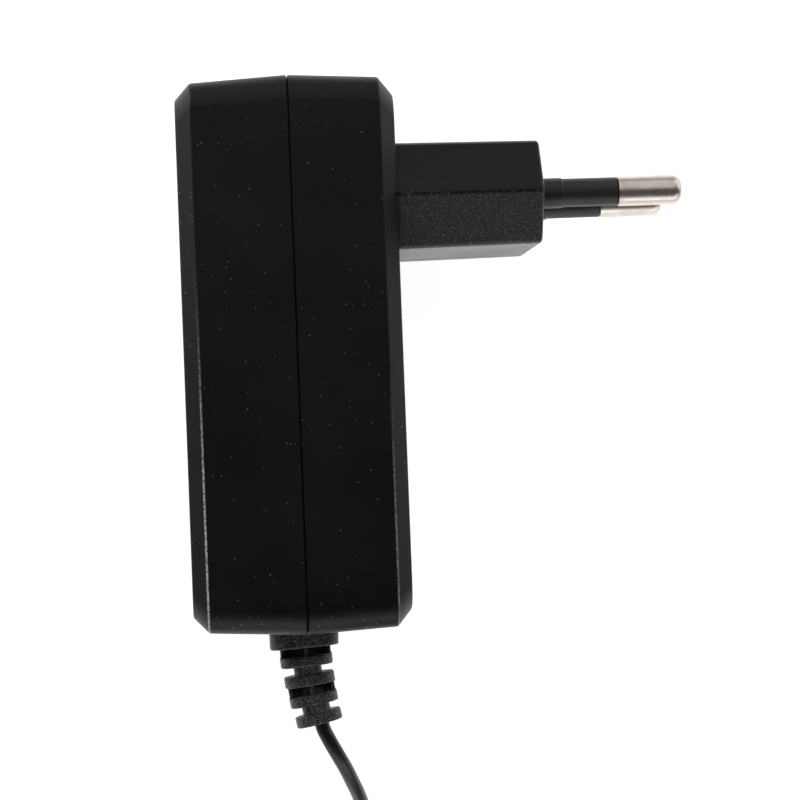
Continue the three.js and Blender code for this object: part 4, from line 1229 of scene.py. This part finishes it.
# The relief's last colour is a painted glint on its grain's tops
relief_material = moulded("relief_vinyl", ((0.024, 0.023, 0.025), (0.046, 0.044, 0.048)),
                          0.42, 5.0, 0.07, 0.5, 0.09, (0.30, 0.29, 0.31))
jacket_material = moulded("lead_jacket", ((0.007, 0.007, 0.0072), (0.012, 0.012, 0.012)),
                          0.38, 3.5, 0.01, 0.3)
grip_material = moulded("usb_overmould", ((0.008, 0.008, 0.008), (0.013, 0.013, 0.0132)),
                        0.46, 9.0, 0.012, 0.2)
insert_material = moulded("usb_insert_plastic", ((0.006, 0.006, 0.006), (0.01, 0.01, 0.01)),
                          0.40, 10.0, 0.006)
for name in ("upper", "lower"):
    paint(bpy.data.objects[f"sleeve_{name}"], sleeve_material)
paint(relief, relief_material)
paint(cord, jacket_material)
paint(usb_relief, relief_material)
paint(usb_grip, grip_material)
paint(usb_insert, insert_material)
print("moulded finishes on the sleeves, relief, lead and USB plug")

# %% [markdown]
# The tie is woven tape, so its height and colour come from two crossed waves,
# one along the tape's width and one round it.

# %% Make the tie's weave
WEAVE_PITCH = 0.45  # mm from thread to thread


def woven():
    finish = Finish("tie_weave", Sheen_Weight=0.2)
    turns = 2 * math.pi / WEAVE_PITCH
    across = (finish.axis("Y") * turns).wave()
    along = ((finish.axis("X") + finish.axis("Z")) * turns).wave()
    weave = across * along + (1 - across) * (1 - along)
    fuzz = finish.noise(9, 2)
    colour = finish.mix(weave * 0.7 + fuzz * 0.3,
                        (0.003, 0.003, 0.003), (0.017, 0.017, 0.018))
    return finish.wear(Base_Color=colour, Roughness=0.65 + fuzz * 0.2,
                       Normal=finish.bump(weave + fuzz * 0.3, 0.06))


paint(tie, woven())
print("woven finish on the tie")

# %% [markdown]
# ## Metals
#
# The pins are nickel plated brass. Turning leaves fine rings round them, and
# pushing them into sockets scratches them lengthwise. Both are noise whose
# coordinates are drawn out in one direction. The USB shell is drawn steel with
# lengthwise lines, and the contacts are plated brass strip.

# %% Make the metals
def metal(name, colours, roughness, rings, scratches, tall):
    """rings is the share of lines across X, and scratches of lines along it"""
    finish = Finish(name)
    ring = finish.noise(1.0, 3, 0.6, finish.stretched(9.0, 0.35, 0.35))
    scratch = finish.noise(1.0, 4, 0.7, finish.stretched(0.35, 14.0, 14.0))
    tarnish = finish.noise(0.45, 3).between(0.4, 0.75)
    marks = ring * rings + scratch * scratches + finish.noise(7, 2) * 0.5
    colour = finish.mix(tarnish, *colours)
    rough = roughness + (marks - (rings + scratches) / 2) * 0.5 + tarnish * 0.06
    return finish.wear(Base_Color=colour, Metallic=1.0, Roughness=rough,
                       Normal=finish.bump(marks, tall))


nickel = metal("pin_nickel_plate", ((0.74, 0.68, 0.63), (0.64, 0.575, 0.52)),
               0.19, 0.4, 0.3, 0.012)
steel = metal("usb_drawn_steel", ((0.60, 0.61, 0.63), (0.52, 0.53, 0.55)),
              0.27, 0.1, 0.7, 0.006)
brass = metal("brass_strip", ((0.72, 0.52, 0.24), (0.58, 0.40, 0.17)),
              0.25, 0.2, 0.5, 0.005)
for name in ("upper", "lower"):
    paint(bpy.data.objects[f"pin_{name}"], nickel)
paint(usb_shell, steel)
paint(usb_contacts, brass)
print("metal finishes on the pins, the USB shell and its contacts")

# %% [markdown]
# ## Inside the case
#
# The parts on the circuit board keep their engineering shapes and only get
# finishes. Most are moulded. The tape round the transformer, the sleeves of the
# capacitors and the wire of the choke are wound or banded, so they get stripes
# along the axis that they are wound round.

# %% Finish the parts inside
def banded(name, axis, pitch, colours, roughness, tall, sharp=0.3):
    """Stripes square to an axis, so many millimetres apart"""
    finish = Finish(name)
    stripe = (finish.axis(axis) * (2 * math.pi / pitch)).wave()
    stripe = stripe.between(0.5 - sharp, 0.5 + sharp)
    grain = finish.noise(4.0, 3)
    colour = finish.mix(stripe * 0.8 + grain * 0.2, *colours)
    return finish.wear(Base_Color=colour, Roughness=roughness + grain * 0.12,
                       Normal=finish.bump(stripe + grain * 0.3, tall))


BOARD_WEAVE = 8  # radians of the weave's wave to a millimetre


def solder_mask():
    """Green lacquer over a glass weave, with paler copper tracks under it"""
    finish = Finish("board_lacquer", Coat_Roughness=0.2)
    warp, weft = ((finish.axis(letter) * BOARD_WEAVE).wave() for letter in "YZ")
    weave = warp * weft
    bricks = finish.node("ShaderNodeTexBrick", {}, {
        "Vector": finish.node("ShaderNodeMapping", {}, {
            "Vector": finish.place, "Rotation": (0, math.pi / 2, 0)}),
        "Scale": 0.25, "Mortar Size": 0.06}, "Fac")
    colour = finish.mix(weave * 0.4, (0.010, 0.075, 0.022), (0.018, 0.105, 0.035))
    colour = finish.mix(bricks * 0.6, colour, (0.04, 0.17, 0.06))
    return finish.wear(Base_Color=colour, Roughness=0.3 + weave * 0.08, Coat_Weight=0.4,
                       Normal=finish.bump(bricks + weave * 0.2, 0.03))


def shade_of(red, green, blue, paler=1.4):
    return ((red, green, blue), (red * paler, green * paler, blue * paler))


package = moulded("package_plastic", shade_of(0.009, 0.009, 0.010), 0.5, 7.0, 0.012)
can = banded("can_sleeve_film", "Y", 2.6, shade_of(0.012, 0.016, 0.03, 2.2),
             0.22, 0.004, 0.1)
inside = {
    "pin_carrier": moulded("carrier_cream", shade_of(0.55, 0.50, 0.38, 1.15),
                           0.5, 5.0, 0.015),
    "circuit_board": solder_mask(),
    "contact_spring": brass,
    "transformer_core": moulded("ferrite_pressed", shade_of(0.020, 0.020, 0.022, 1.8),
                                0.68, 6.0, 0.03, 0.5),
    "transformer_bobbin": package,
    "transformer_winding": banded("winding_tape", "X", 2.2, shade_of(0.55, 0.36, 0.035),
                                  0.25, 0.01),
    "input_capacitor": can,
    "output_capacitor": can,
    "fuse_resistor": banded("fuse_lacquer", "Y", 1.9,
                            ((0.12, 0.25, 0.15), (0.32, 0.12, 0.05)), 0.35, 0.02, 0.1),
    "bridge_rectifier": package,
    "optocoupler": package,
    "controller_chip": package,
    "isolation_capacitor": moulded("disc_glaze", shade_of(0.03, 0.14, 0.40),
                                     0.2, 1.5, 0.03),
    "output_choke": banded("choke_wire", "Y", 0.5,
                           ((0.13, 0.04, 0.015), (0.42, 0.15, 0.06)), 0.28, 0.06),
    "output_diode": banded("diode_body", "Y", 3.4, ((0.008, 0.008, 0.009), (0.3, 0.3, 0.3)),
                           0.4, 0.004, 0.05),
    "lead_core_a": moulded("core_red_jacket", shade_of(0.36, 0.02, 0.012),
                           0.35, 4.0, 0.008),
    "lead_core_b": jacket_material,
}
finished = []
for name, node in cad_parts.items():
    for kind, material in inside.items():
        if name.startswith(kind):
            paint(node, material)
            finished.append(name)
print(len(finished), "engineering nodes finished:", ", ".join(sorted(finished)))

# %% [markdown]
# ## Floor and light
#
# The supply lies on a plain white table. The table glows round the supply and
# fades further out, as a light table does, so that it stays white with hardly a
# shadow. A big soft panel hangs on the far side, from overhead down to the
# horizon. Its edge is above the plug, so the broad side of the case fades from
# the plug's end towards the lead. Two small panels brighten the chamfers there,
# and a band of light along the near horizon picks out the lower flats of the
# plug and the pins. The rest of the surroundings are dim.

# %% Make the floor
FLOOR_SIZE = 3.0
FLOOR_GAP = 0.05 * MM
FLOOR_WHITE = (0.82, 0.82, 0.82)
GLOW = (0.90, 0.10)  # near the supply, and far from it
GLOW_REACH = (76.0, 145.0)  # mm

clear_selection()
bpy.ops.mesh.primitive_plane_add(size=FLOOR_SIZE, location=(0, 0, -FLOOR_GAP))
floor = bpy.context.object
floor.name = "table_top"
keep_place()
table = Finish("white_table", Emission_Strength=1.0)
away = table.node("ShaderNodeVectorMath", {"operation": "LENGTH"}, {0: table.place},
                  "Value")
faded = away.between(*GLOW_REACH)
paint(floor, table.wear(
    Base_Color=FLOOR_WHITE, Roughness=0.75 + table.noise(0.004, 2) * 0.02,
    Emission_Color=table.mix(faded, (GLOW[0],) * 3, (GLOW[1],) * 3)))
print("floor", FLOOR_SIZE, "m square")

# %% Light the scene from all round
DIM = 0.05
SIDE_HORIZON = 0.036
NEAR_BAND = 1.7

world = bpy.data.worlds.new("studio")
bpy.context.scene.world = world
sky = Tree(world)
way = sky.node("ShaderNodeTexCoord", {}, {}, "Generated")
north, up = (sky.node("ShaderNodeSeparateXYZ", {}, {0: way}, letter) for letter in "YZ")
low = abs(up).between(0.75, 0.05)
band = north.between(-0.35, -0.85) * abs(up).between(0.56, 0.3)
level = DIM + low * SIDE_HORIZON + band * NEAR_BAND
light = sky.node("ShaderNodeBackground", {}, {
    "Color": (1.0, 0.985, 0.975), "Strength": level})
sky.node("ShaderNodeOutputWorld", {}, {"Surface": light}, None)
bpy.context.scene.view_settings.view_transform = "Standard"
print("surroundings from", DIM, "to", NEAR_BAND)


# %% Hang the soft panels
def panel(name, centre, size, aim, brightness, colour=(1.0, 0.985, 0.97)):
    """A soft rectangular light; brightness is how bright its face looks"""
    lamp = bpy.data.lights.new(name, "AREA")
    lamp.shape = "RECTANGLE"
    lamp.size, lamp.size_y = size
    lamp.energy = brightness * math.pi * size[0] * size[1]
    lamp.color = colour
    holder = bpy.data.objects.new(name, lamp)
    bpy.context.scene.collection.objects.link(holder)
    holder.location = centre
    towards = Vector(aim) - Vector(centre)
    holder.rotation_euler = towards.to_track_quat("-Z", "Y").to_euler()
    holder.visible_camera = False


panel("far_panel", (0.0, 0.285, 0.29), (0.55, 0.53), (0.0, 0.0, 0.0), 0.66,
      (1.0, 0.95, 0.92))
panel("left_panel", (-0.23, 0.16, 0.07), (0.2, 0.16), (-0.03, 0.02, 0.03), 3.0)
panel("right_panel", (0.22, 0.14, 0.07), (0.24, 0.16), (-0.01, 0.02, 0.03), 1.3)
print("three soft panels")

# %% [markdown]
# ## Where the lead leaves
#
# The lead leaves the supply at the end of the strain relief.

# %% [markdown]
# ## Last step
#
# The view layer is brought up to date.

# %% Update the view layer
bpy.context.view_layer.update()
